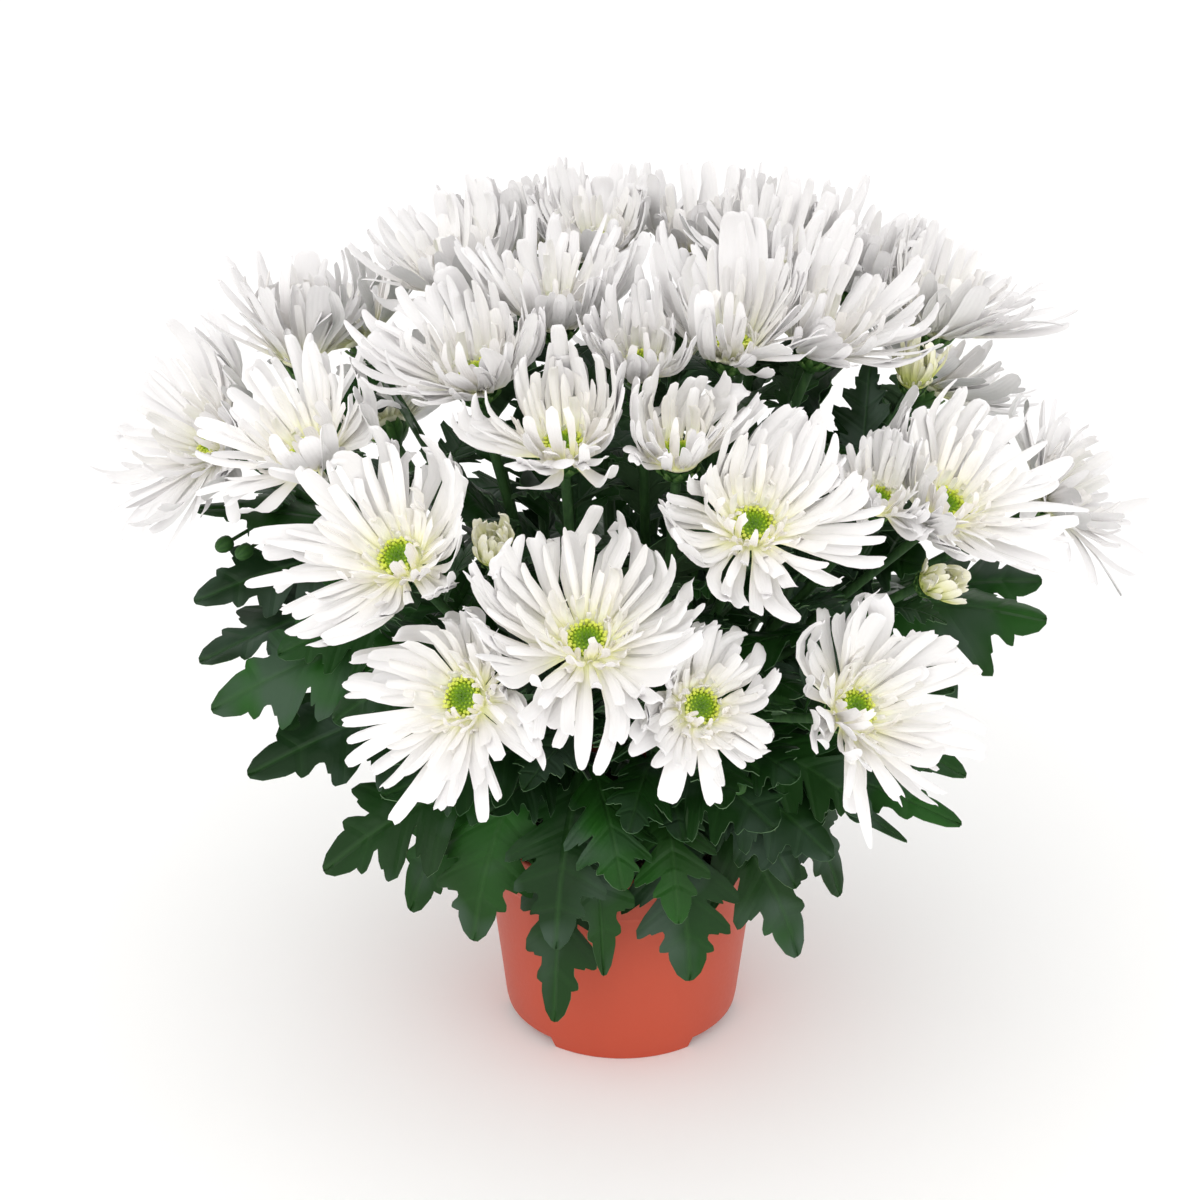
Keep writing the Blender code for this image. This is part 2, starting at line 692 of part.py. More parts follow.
def all_leaves():
    """Leaves of each stem: those in view and its share of the tiers round the back."""
    leaves = {name: list(rows) for name, rows in LEAVES.items()}
    start = START_AZIMUTH
    for name, (_, end) in STEMS.items():
        for tier, (first, last, count, *shape) in enumerate(LEAF_TIERS):
            for step in range(count):
                azimuth = first + (last - first) * step / (count - 1)
                if not share_of(start, end, azimuth):
                    continue
                chance = random.Random(tier * 50 + step)
                root_radius, root_height, tip_radius, tip_height, arch, width = shape
                tip_radius += chance.uniform(-8, 8)
                tip_height += chance.uniform(-10, 10)
                root = (azimuth, root_radius, root_height)
                tip = (azimuth + chance.uniform(-5, 5), tip_radius, tip_height)
                leaves[name].append(Leaf(*root, *tip, arch, width))
        start = end
    return leaves


def spin_profile(name, profile, steps):
    """Turned body from a closed profile of radius and height pairs."""
    work = bmesh.new()
    verts = [work.verts.new((radius, 0, height)) for radius, height in profile]
    edges = [work.edges.new(pair) for pair in zip(verts, verts[1:])]
    bmesh.ops.spin(
        work,
        geom=verts + edges,
        cent=(0, 0, 0),
        axis=(0, 0, 1),
        angle=math.tau,
        steps=steps,
        use_merge=True,
    )
    bmesh.ops.remove_doubles(work, verts=work.verts, dist=1e-6)
    bmesh.ops.recalc_face_normals(work, faces=work.faces)
    mesh = bpy.data.meshes.new(name)
    work.to_mesh(mesh)
    work.free()
    item = bpy.data.objects.new(name, mesh)
    bpy.context.scene.collection.objects.link(item)
    return item


def round_cutter(name, place, radius, depth, sides):
    """Upright prism that cuts a hole."""
    work = bmesh.new()
    bmesh.ops.create_cone(
        work, cap_ends=True, segments=sides, radius1=radius, radius2=radius, depth=depth
    )
    bmesh.ops.translate(work, verts=work.verts, vec=place)
    mesh = bpy.data.meshes.new(name)
    work.to_mesh(mesh)
    work.free()
    item = bpy.data.objects.new(name, mesh)
    bpy.context.scene.collection.objects.link(item)
    return item


def notch_cutter(middle):
    """Wedge that opens the foot ring over one notch, with sloping ends."""
    rings = []
    for height, spare in ((-1 * MM, 0.0), (FOOT_HEIGHT, 3.0)):
        half = NOTCH_ANGLE / 2 - spare
        ring = []
        for radius in (FOOT_RADIUS - 3 * FOOT_WIDTH, FOOT_RADIUS + 6 * MM):
            turns = [-half, -half / 2, 0, half / 2, half]
            if radius > FOOT_RADIUS:
                turns.reverse()
            ring += [towards(middle + turn) * radius + Vector((0, 0, height)) for turn in turns]
        rings.append(ring)
    return loft("notch", rings)


def cut(item, cutters, finish):
    """Cut a body by its cutters and give it its material."""
    holes = bpy.data.collections.new(item.name + "_cutters")
    bpy.context.scene.collection.children.link(holes)
    for cutter in cutters:
        bpy.context.scene.collection.objects.unlink(cutter)
        holes.objects.link(cutter)
        cutter.hide_render = True
        cutter.display_type = "WIRE"
    difference = item.modifiers.new("Cut", "BOOLEAN")
    difference.operation = "DIFFERENCE"
    difference.operand_type = "COLLECTION"
    difference.collection = holes
    apply_modifiers(item)
    for cutter in list(holes.objects):
        bpy.data.objects.remove(cutter, do_unlink=True)
    bpy.data.collections.remove(holes)
    item.data.materials.clear()
    item.data.materials.append(finish)
    item.data.shade_smooth()
    item.data.set_sharp_from_angle(angle=math.radians(35))
    return item


def pot():
    """Thin tapered pot with a rolled rim, a notched foot ring and drain holes in its floor."""
    band = POT_HEIGHT - RIM_HEIGHT
    inner_floor = FOOT_HEIGHT + FLOOR
    profile = [
        (0, FOOT_HEIGHT),
        (FOOT_RADIUS - FOOT_WIDTH, FOOT_HEIGHT),
        (FOOT_RADIUS - FOOT_WIDTH, 0),
        (FOOT_RADIUS, 0),
        (FOOT_RADIUS + 0.7 * MM, FOOT_HEIGHT),
        (CORNER_RADIUS, CORNER_HEIGHT),
        (WALL_TOP_RADIUS, band),
        (RIM_RADIUS - 0.5 * MM, band),
        (RIM_RADIUS, POT_HEIGHT - 2 * MM),
        (RIM_RADIUS - 0.8 * MM, POT_HEIGHT),
        (WALL_TOP_RADIUS + 0.6 * MM, POT_HEIGHT),
        (WALL_TOP_RADIUS - WALL, band - 2 * MM),
        (FOOT_RADIUS - WALL + 0.8 * MM, inner_floor),
        (0, inner_floor),
    ]
    body = spin_profile("pot", profile, POT_STEPS)
    cutters = [notch_cutter(180 + 360 * k / FOOT_COUNT) for k in range(FOOT_COUNT)]
    for k in range(DRAIN_COUNT):
        place = towards(360 * k / DRAIN_COUNT) * DRAIN_RING
        place.z = FOOT_HEIGHT
        cutters.append(round_cutter("drain", place, DRAIN_RADIUS, 12 * MM, 8))
    plastic = material("orange_pot_plastic", (0.60, 0.105, 0.055), 0.45)
    return cut(body, cutters, plastic)


def soil():
    """Potting soil that fills the pot, with a plain hole for each rooted stem."""
    top = POT_HEIGHT - SOIL_DEPTH_BELOW_RIM
    floor = FOOT_HEIGHT + FLOOR + GAP
    low = FOOT_RADIUS - WALL + 0.8 * MM
    high = WALL_TOP_RADIUS - WALL
    share = (top - FOOT_HEIGHT) / (POT_HEIGHT - RIM_HEIGHT - FOOT_HEIGHT)
    spare = 1.5 * GAP
    profile = [
        (0, floor),
        (low - spare, floor),
        (low + (high - low) * share - spare, top - SOIL_MOUND),
        (0.6 * high, top),
        (0, top),
    ]
    body = spin_profile("soil", profile, SOIL_STEPS)
    cutters = []
    for azimuth, _ in STEMS.values():
        place = towards(azimuth) * STEM_RING
        place.z = STEM_FOOT - 1 * MM + HOLE_DEPTH
        radius = STEM_RADIUS + 2 * HOLE_SPARE
        cutters.append(round_cutter("hole", place, radius, 2 * HOLE_DEPTH, 8))
    peat = material("peat", (0.035, 0.022, 0.014), 0.95)
    return cut(body, cutters, peat)


def leafy_stems(heads, obstacles, finish):
    """Rooted stems with their shoots, calyx cups, discs, leaves and closed buds."""
    pieces = {}
    lines = {}
    start = START_AZIMUTH
    for name, (azimuth, end) in STEMS.items():
        line = stem_line(azimuth)
        pieces[name] = [main_stem(azimuth)]
        lines[name] = [line]
        for head in heads.values():
            turn = math.degrees(math.atan2(head.disc.x, -head.disc.y))
            if not share_of(start, end, turn):
                continue
            height = FORK_LOW + (FORK_HIGH - FORK_LOW) * (len(lines[name]) * FORK_STEP % 1.0)
            fork = line[1].lerp(line[2], height)
            lines[name].append(shoot_line(fork, head))
            pieces[name] += [shoot(lines[name][-1], head), calyx(head)]
        for row in BUDS.get(name, ()):
            root = nearest_on(lines[name][1:], cylinder_point(*row[:3]))
            pieces[name].append(bud(root, cylinder_point(*row[3:])))
        start = end
    trees = {name: [tree_of(piece) for piece in own] for name, own in pieces.items()}
    number = 0
    for name, leaves in all_leaves().items():
        for leaf in leaves:
            number += 1
            place = cylinder_point(leaf.root_azimuth, leaf.root_radius, leaf.root_height)
            root = nearest_on(lines[name][1:], place)
            others = obstacles + [tree for other, own in trees.items() if other != name for tree in own]
            piece = clear_leaf(leaf, root, number, others, trees[name])
            if piece:
                pieces[name].append(piece)
                trees[name].append(tree_of(piece))
    for name, own in pieces.items():
        fuse(name, own, finish)


def build():
    """Model the whole plant in its pot."""
    clear_scene()
    vessel = [pot(), soil()]
    white = material("white_floret", (0.86, 0.86, 0.87), 0.55)
    green = material("leaf_green", (0.035, 0.12, 0.03), 0.5)
    heads = {name: Head(index, bloom) for index, (name, bloom) in enumerate(BLOOMS.items(), 1)}
    for head in heads.values():
        for other in heads.values():
            if other is not head and (other.disc - head.disc).length < WALL_REACH:
                head.part_from(other)
    blooms = [floret_ring(name, head, white) for name, head in heads.items()]
    leafy_stems(heads, [tree_of(item) for item in vessel + blooms], green)


build()
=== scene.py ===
"""Pot chrysanthemum, dressed: fine florets, lobed leaves, smooth stems, crumbly soil and pot.

Metres, +Z up, -Y is the front. The tables and the rules that place heads, florets and leaves
are those of the solids, so that every fine piece keeps the form of the node that it replaces.
"""

import random
from collections import namedtuple
from math import atan2, cos, degrees, pi, radians, sin, sqrt, tan, tau

import bmesh
import bpy
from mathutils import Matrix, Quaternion, Vector, noise
from mathutils.bvhtree import BVHTree
from mathutils.geometry import intersect_point_line
from mathutils.kdtree import KDTree


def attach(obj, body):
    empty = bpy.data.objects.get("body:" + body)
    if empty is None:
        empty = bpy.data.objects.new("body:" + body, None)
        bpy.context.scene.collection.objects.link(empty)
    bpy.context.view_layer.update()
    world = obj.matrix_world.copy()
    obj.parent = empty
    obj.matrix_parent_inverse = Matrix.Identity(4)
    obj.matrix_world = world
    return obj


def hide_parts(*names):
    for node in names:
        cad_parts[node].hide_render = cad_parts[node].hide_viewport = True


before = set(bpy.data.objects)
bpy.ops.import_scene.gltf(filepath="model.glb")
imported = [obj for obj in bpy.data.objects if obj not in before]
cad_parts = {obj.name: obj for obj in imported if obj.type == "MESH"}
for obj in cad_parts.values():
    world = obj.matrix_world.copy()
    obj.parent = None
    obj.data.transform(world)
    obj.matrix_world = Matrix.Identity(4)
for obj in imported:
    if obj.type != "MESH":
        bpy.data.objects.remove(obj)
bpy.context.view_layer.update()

MM = 0.001
UP = Vector((0, 0, 1))

# Sizes shared with the solids
POT_HEIGHT = 92 * MM
RIM_RADIUS = 60 * MM
RIM_HEIGHT = 8 * MM
WALL_TOP_RADIUS = 57 * MM
FOOT_RADIUS = 47 * MM
FOOT_HEIGHT = 4.5 * MM
FOOT_WIDTH = 2.4 * MM
CORNER_HEIGHT = 12 * MM
CORNER_RADIUS = 48.8 * MM
WALL = 1.4 * MM
FLOOR = 2 * MM
FOOT_COUNT = 3
NOTCH_ANGLE = 51
DRAIN_COUNT = 6
DRAIN_RADIUS = 4 * MM
DRAIN_RING = 31 * MM
SOIL_TOP = POT_HEIGHT - 10 * MM
SOIL_MOUND = 2 * MM
DOME_CENTRE = Vector((0, 0, 165 * MM))
DOME_RADII = (170 * MM, 150 * MM, 170 * MM)
DISC_RADIUS = 6.4 * MM
HEAD_DEPTH = 12 * MM
ROOT_RADIUS = 7 * MM
ROOT_DEPTH = 1.6 * MM
GOLDEN_ANGLE = radians(137.508)
FLORET_WIDTH = 7.2 * MM
INNER_CLIMB = 78
OPEN_HEAD = 25
OPEN_STEEPNESS = 2.2
CUP_STEEPNESS = 1.4
SHORTENING = 2.4
INNER_NARROWING = 0.25
PATH_STEPS = 10
SEAT_SHARE = 0.3
HEAD_ROOM = 11 * MM
WALL_SOFTNESS = 16 * MM
WALL_CLEARANCE = 0.7 * MM
WALL_REACH = 140 * MM
STEM_RADIUS = 3.2 * MM
SHOOT_RADIUS = 1.8 * MM
STEM_RING = 24 * MM
STEM_FOOT = 50 * MM
STEM_TOP_RING = 30 * MM
STEM_TOP = 138 * MM
STEM_TAPER = 0.28
STEM_TAPER_FROM = 100 * MM
FORK_LOW = 0.1
FORK_HIGH = 0.97
FORK_STEP = 0.382
LEAF_ROLL = 16
LEAF_TURN = 24
LEAF_FOLD = (-0.3, 0.12)
SWINGS = (0, 7, -7, 14, -14, 22, -22, 30, -30)
DIPS = (0, 6, -6, 12, -12, 18, -18, 26, -26, 34)
BUD_RADIUS = 3 * MM
BUD_LENGTH = 8 * MM

# Florets: how many, how wide and how rolled; the stations run from the root to the tip
COMPANIONS = 4.0
OPEN_COMPANIONS = 5.0
CUP_REACH = 1.18
OPEN_REACH = 1.02
OUTER_QUILLS = 16
INNER_QUILLS = 34
BROAD_SHARE = 0.14
CUP_BROAD_SHARE = 0.26
POINTED_SHARE = 0.22
ROLLED_SHARE = 0.22
SHORT_LAYER = 0.55
CURLS = (0, 0, 10, 25, 45, -20, -35)
INNER_CURL = 30
NOTCHES = (0.0, 0.5, 1.4)
STATIONS = (0.0, 0.1, 0.22, 0.36, 0.5, 0.64, 0.77, 0.88, 0.95, 0.985)
STRAP_WIDTHS = (0.40, 0.46, 0.62, 0.80, 0.92, 0.98, 1.0, 0.96, 0.82, 0.54)
POINTED_WIDTHS = (0.40, 0.46, 0.64, 0.84, 0.97, 1.0, 0.92, 0.72, 0.50, 0.30)
PETAL_THICKNESS = 0.45 * MM
YOUNG_PETAL = 20
YOUNG_BEND = 24
CROWN_CLIMB = 54
SIDE_AZIMUTH = 80
HEART_GLOW = 0.13
DISC_FLORETS = 76
OPEN_FLORET = 0.7
SHARP_EDGE = radians(50)

# A floret's section, as places across it from edge to edge and 0 for the inner, 1 for the outer side
SECTION = ((-1.0, 0.0), (-0.5, 0.0), (0.0, 0.0), (0.5, 0.0), (1.0, 0.0), (0.5, 1.0), (0.0, 1.0), (-0.5, 1.0))

# Stems, shoots and buds: how many sides, and how far every second one stands out
STEM_RIDGES = (14, 0.06)
SHOOT_RIDGES = (10, 0.07)
BUD_RIDGES = (16, 0.07)
BUD_STALK = 0.75 * MM

# Leaf lobes and their teeth: where each leaves the midrib, its half reach along it, its width
# and how blunt it is
LEAF_LOBES = (
    (0.215, 0.078, 0.72, 2.8), (0.282, 0.030, 0.46, 2.4), (0.402, 0.088, 1.00, 2.8),
    (0.484, 0.034, 0.70, 2.4), (0.606, 0.076, 0.80, 2.8), (0.674, 0.032, 0.56, 2.4),
    (0.775, 0.052, 0.46, 2.6), (0.848, 0.030, 0.32, 2.4), (0.830, 0.170, 0.32, 1.3),
)
LEAF_BLADES = (0.27, 0.45, 0.36, 0.52, 0.41)
LEAF_TAPER = 1.3
LEAF_ROW_GAP = 0.006
LEAF_STEPS = (0.3, 0.68, 0.96)
LEAF_COLUMNS = 3
LEAF_VEINS = (0.212, 5.2)
LEAF_GROWTH = 1.06
LEAF_SLANT = 0.95
LEAF_THICKNESS = 0.4 * MM
TIP_MATCH = 0.3 * MM
SMALL_LEAF_STEPS = (0.5, 0.95)
SMALL_LEAF_COLUMNS = 2
SMALL_LEAF_PLACES = (0.18, 0.3, 0.42, 0.54, 0.66, 0.76, 0.86)
SMALL_LEAF_TRIES = 60
SMALL_LEAF_LENGTHS = (26, 58)
SMALL_LEAF_ROLL = 20
SMALL_LEAF_FOLD = (-0.2, 0.3)
LOW_LEAVES = 12
LOW_LEAF_PLACE = 0.06

# Places between the blooms that a leaf fills: azimuth in degrees, radius and height in mm
FILL_PLACES = {
    "leafy_stem_right": (
        (96, 92, 263), (112, 106, 253), (108, 92, 246), (120, 118, 250), (84, 94, 276),
    ),
    "leafy_stem_front_right": ((50, 84, 232), (56, 92, 236)),
}
FILL_TRIES = 300
FILL_LENGTHS = (24, 75)
FILL_FACING = Vector((0.0, -0.8, 0.6))

# Room that a small leaf keeps from a bloom: past the tips of its florets, degrees below their
# opening, and beneath its disc
BLOOM_ROOM = 10 * MM
BLOOM_SAG = 14
BLOOM_DEPTH = 9 * MM

# Pot and soil, finer than the solids
POT_SIDES = 120
POT_SHARP_EDGE = radians(40)
DRAIN_SIDES = 24
SOIL_RINGS = 26
SOIL_SIDES = 72
CRUMBS = 420
CRUMB_SIZES = (0.6, 0.8, 1.0, 1.4, 2.0)
FIBRE_SHARE = 0.18

# Studio: name, place, size and power of each light and its colour, then the world and the camera
LIGHTS = (
    ("key", (-0.7, -1.6, 1.5), 1.8, 11, (1.0, 0.99, 0.97)),
    ("fill", (1.2, -1.5, 0.9), 1.8, 4.5, (1.0, 0.995, 0.985)),
    ("top", (0, 0.3, 2.2), 2.4, 0.5, (1.0, 1.0, 1.0)),
)
LIGHT_TARGET = Vector((0, 0, 0.2))
WORLD_COLOUR = (1.0, 0.995, 0.985, 1)
WORLD_STRENGTH = 1.07
FLOOR_REACH = 6
CAMERA_PLACE = (-0.009, -1.05, 0.688)
CAMERA_DIP = 25.6
CAMERA_LENS = 88.5

BLACK = (0, 0, 0)
WHITE = (1, 1, 1)

# Material slots of a leafy stem
LEAF_SLOT, UNDER_SLOT, STEM_SLOT, DISC_SLOT, EDGE_SLOT = range(5)
SLOT_FINISHES = ("leaf", "leaf_under", "stem", "disc", "leaf_edge")

# Rows of the tables, and the form that a floret takes by chance
Bloom = namedtuple("Bloom", "azimuth climb lift face_azimuth face_climb petal opening scale florets")
Leaf = namedtuple("Leaf", "root_azimuth root_radius root_height tip_azimuth tip_radius tip_height arch width")
Form = namedtuple("Form", "curl sway pointed notch open_roll root_roll unrolled width twist")

# Blooms from 1 on, front rows first: place on the dome in degrees, lift off the dome in mm,
# the way the disc faces in degrees, floret length in mm, opening of the outer florets in degrees,
# scale of the head, number of florets
BLOOM_ROWS = (
    (-5, 24, 0, 0, 60, 58, 10, 1.0, 17),
    (-20, 16, 0, -32, 34, 45, 8, 1.0, 15),
    (9, 16, 0, 25, 36, 32, 14, 0.9, 13),
    (19, 37, 0, 8, 55, 50, 10, 1.0, 16),
    (-33, 31, 0, -30, 52, 52, 10, 1.0, 17),
    (-11, 48, 0, -10, 76, 43, 28, 1.0, 15),
    (9, 47, 0, 12, 78, 36, 38, 0.9, 13),
    (54, 33, 0, 42, 58, 50, 14, 1.0, 16),
    (90, 21, 8, 80, 38, 37, 28, 1.0, 15),
    (29, 13, 0, 42, 38, 46, 26, 1.0, 16),
    (-20, 34, -6, -10, 65, 15, 66, 0.6, 9),
    (47, 25, -4, 55, 32, 14, 64, 0.6, 9),
    (42, 37, -2, 42, 70, 26, 30, 0.8, 12),
    (-96, 27, 9, -62, 38, 53, 14, 1.0, 17),
    (-60, 39, 0, -48, 60, 42, 28, 1.0, 14),
    (-96, 44, 2, -95, 84, 43, 60, 1.0, 14),
    (-34, 56, 0, -32, 78, 48, 24, 1.0, 15),
    (-94, 67, -6, -80, 78, 40, 26, 1.0, 14),
    (-25, 69, -2, -20, 80, 44, 24, 1.0, 14),
    (-160, 79, -10, 0, 82, 38, 24, 1.0, 14),
    (4, 60, 0, 0, 66, 33, 36, 0.8, 12),
    (28, 62, 0, 18, 80, 50, 28, 1.0, 15),
    (53, 59, 0, 55, 74, 50, 24, 1.0, 15),
    (142, 75, -8, 20, 86, 36, 26, 1.0, 14),
    (84, 71, -4, 60, 80, 40, 26, 1.0, 14),
    (96, 48, 8, 84, 78, 50, 20, 1.0, 15),
    (72, 48, -2, 66, 84, 17, 72, 0.6, 9),
    (108, 57, 2, 100, 76, 39, 26, 1.0, 13),
    (-140, 66, -6, -130, 80, 37, 28, 1.0, 13),
    (132, 61, -4, 130, 80, 38, 28, 1.0, 13),
    (-172, 54, 0, -175, 68, 44, 24, 1.0, 12),
    (-128, 38, 0, -125, 56, 46, 22, 1.0, 12),
    (153, 40, 0, 152, 58, 46, 22, 1.0, 12),
    (172, 22, 3, 174, 42, 54, 14, 1.0, 14),
    (-142, 17, 0, -145, 40, 46, 14, 1.0, 14),
    (122, 30, 0, 120, 50, 44, 16, 1.0, 13),
    (-164, 30, -2, -160, 56, 24, 40, 0.8, 11),
)

# The five rooted stems: azimuth of each, and the azimuth where its share of the head ends
START_AZIMUTH = -70
STEMS = {
    "leafy_stem_front_left": (-34, 0),
    "leafy_stem_front_right": (30, 63),
    "leafy_stem_right": (96, 138),
    "leafy_stem_back": (176, 215),
    "leafy_stem_left": (252, 290),
}

# Leaves in view: where the stalk joins its shoot and where the tip ends, as azimuth in degrees,
# radius and height in mm, then the arch of the midrib and the width, in mm
LEAVES = {
    "leafy_stem_front_left": (
        (-17, 48, 145, -16, 94, 80, 20, 50), (-22, 45, 118, -19, 83, 39, 26, 40),
        (-8, 45, 115, -6, 80, 60, 24, 30), (-10, 50, 140, -1, 89, 103, 16, 36),
        (-46, 64, 126, -62, 132, 98, 14, 54), (-38, 62, 140, -40, 97, 76, 20, 48),
        (-15, 62, 158, -39, 141, 158, 8, 46), (-58, 80, 150, -69, 155, 137, 10, 50),
        (-60, 85, 178, -74, 165, 160, 10, 52), (-50, 85, 190, -52, 137, 176, 12, 46),
        (-50, 45, 230, -44, 83, 282, 6, 36), (-56, 50, 230, -54, 92, 272, 5, 40),
        (-14, 42, 140, -34, 90, 126, 12, 40), (-3, 40, 138, -5, 84, 116, 14, 40),
        (-4, 40, 180, -4, 92, 160, 6, 38), (-62, 78, 195, -70, 140, 185, 10, 46),
        (-45, 72, 200, -52, 118, 200, 8, 42), (-40, 66, 160, -46, 120, 150, 12, 44),
        (-2, 45, 225, 0, 85, 245, 6, 36), (-8, 45, 255, -10, 66, 300, 5, 34),
    ),
    "leafy_stem_front_right": (
        (6, 45, 142, 29, 115, 139, 12, 48), (12, 42, 112, 18, 84, 59, 26, 48),
        (8, 45, 125, 5, 92, 92, 20, 38), (3, 50, 150, 1, 105, 140, 8, 30),
        (30, 42, 115, 48, 93, 59, 24, 46), (32, 45, 122, 43, 98, 96, 18, 44),
        (36, 50, 125, 43, 116, 117, 12, 40), (45, 55, 140, 52, 114, 114, 14, 38),
        (32, 55, 150, 37, 107, 141, 8, 36), (50, 66, 132, 55, 132, 119, 8, 24),
        (52, 64, 128, 65, 141, 107, 10, 36), (45, 70, 215, 41, 105, 222, 8, 34),
        (8, 50, 235, 12, 61, 282, 6, 30), (12, 40, 136, 16, 84, 122, 12, 40),
        (8, 48, 168, 12, 99, 152, 8, 40), (32, 58, 195, 36, 112, 190, 8, 42),
        (50, 70, 190, 52, 124, 185, 8, 46), (38, 50, 250, 45, 90, 290, 5, 38),
    ),
    "leafy_stem_right": (
        (64, 70, 165, 68, 136, 171, 8, 44), (66, 70, 140, 71, 141, 131, 10, 46),
        (78, 80, 185, 83, 165, 176, 10, 56), (92, 90, 180, 95, 168, 187, 8, 44),
        (85, 50, 235, 83, 79, 280, 6, 40), (62, 50, 245, 74, 98, 286, 5, 40),
        (64, 62, 212, 68, 122, 222, 8, 44),
    ),
    "leafy_stem_back": (),
    "leafy_stem_left": (
        (-80, 90, 185, -83, 167, 168, 10, 50), (-78, 80, 150, -78, 139, 138, 10, 44),
        (-84, 90, 195, -86, 168, 190, 8, 42), (-90, 95, 200, -93, 171, 207, 8, 36),
        (-74, 80, 200, -81, 126, 216, 8, 34),
    ),
}

# Tiers of leaves round the sides and the back: first and last azimuth, count, then as in LEAVES
# the root's radius and height, the tip's radius and height, the arch and the width
LEAF_TIERS = (
    (76, 284, 8, 42, 116, 86, 58, 26, 48),
    (94, 266, 7, 60, 140, 132, 108, 14, 48),
    (116, 250, 5, 72, 168, 142, 160, 10, 46),
    (15, 355, 7, 22, 205, 62, 248, 10, 42),
)

# Closed green buds: root and tip of the stalk as in LEAVES
BUDS = {
    "leafy_stem_left": ((-92, 135, 208, -86, 158, 212), (-88, 130, 205, -84, 150, 211)),
    "leafy_stem_front_right": ((25, 85, 146, 24, 106, 152),),
}


def towards(azimuth, climb=0.0):
    """Unit vector at an azimuth from the front and a climb from the horizon, in degrees."""
    a = radians(azimuth)
    c = radians(climb)
    return Vector((cos(c) * sin(a), -cos(c) * cos(a), sin(c)))


def azimuth_of(point):
    """Azimuth of a point in degrees."""
    return degrees(atan2(point.x, -point.y))


def cylinder_point(azimuth, radius, height):
    """Point given by azimuth in degrees and by radius and height in mm."""
    return towards(azimuth) * radius * MM + UP * (height * MM)


def polar(x, y, angle):
    """Direction at an angle from x towards y."""
    return x * cos(angle) + y * sin(angle)


def circle(centre, x, y, radius, sides, ridge=0.0):
    """Points of a ring, with every second one further out by a share."""
    swells = [radius * (1 + ridge * (k % 2)) for k in range(sides)]
    return [centre + polar(x, y, tau * k / sides) * swell for k, swell in enumerate(swells)]


def bezier(points, t):
    """Point of the Bezier curve with these control points."""
    work = list(points)
    while len(work) > 1:
        work = [a.lerp(b, t) for a, b in zip(work, work[1:])]
    return work[0]


def ramp(value, low, high):
    """0 below low, 1 above high, smooth between."""
    t = min(max((value - low) / (high - low), 0.0), 1.0)
    return t * t * (3 - 2 * t)


def ring_faces(rings, sides, root=True, end=False):
    """Quads between rings of equal count, with a flat root and a flat end where asked."""
    faces = []
    for low in range(0, (rings - 1) * sides, sides):
        for side in range(sides):
            after = (side + 1) % sides
            faces.append((low + side, low + after, low + sides + after, low + sides + side))
    if root:
        faces.append(tuple(range(sides)))
    if end:
        faces.append(tuple(range((rings - 1) * sides, rings * sides)))
    return faces


def tip_faces(tip, sides):
    """Triangles from the last ring to the single point after it."""
    base = tip - sides
    return [(base + k, base + (k + 1) % sides, tip) for k in range(sides)]


def add_object(name, data):
    """New object of the scene from a mesh, a light or a camera."""
    item = bpy.data.objects.new(name, data)
    bpy.context.scene.collection.objects.link(item)
    return item


def mesh_object(name, points, faces):
    """Object from points and faces, facing out."""
    mesh = bpy.data.meshes.new(name)
    mesh.from_pydata(points, [], faces)
    work = bmesh.new()
    work.from_mesh(mesh)
    bmesh.ops.recalc_face_normals(work, faces=work.faces)
    work.to_mesh(mesh)
    work.free()
    return add_object(name, mesh)


def stand_in(item, node):
    """Let a piece replace a CAD node, on the only body."""
    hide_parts(node)
    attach(item, "root")


class Sheet:
    """Points and faces of one piece, with values at each point for its materials."""

    def __init__(self):
        self.points = []
        self.faces = []
        self.slots = []
        self.values = {"along": [], "layer": [], "across": [], "under": []}

    def add(self, points, faces, slot=0, **values):
        """Add one body; a slot or value is a number, or a list for its faces or points."""
        base = len(self.points)
        self.points += points
        self.faces += [tuple(base + index for index in face) for face in faces]
        self.slots += slot if isinstance(slot, list) else [slot] * len(faces)
        for name, stored in self.values.items():
            value = values.get(name, 0.0)
            stored += value if isinstance(value, list) else [value] * len(points)

    def make(self, name, finishes):
        """Turn the collected bodies into one object."""
        item = mesh_object(name, self.points, self.faces)
        mesh = item.data
        mesh.polygons.foreach_set("material_index", self.slots)
        for value_name, stored in self.values.items():
            mesh.attributes.new(value_name, "FLOAT", "POINT").data.foreach_set("value", stored)
        for finish in finishes:
            mesh.materials.append(finish)
        mesh.shade_smooth()
        mesh.set_sharp_from_angle(angle=SHARP_EDGE)
        return item


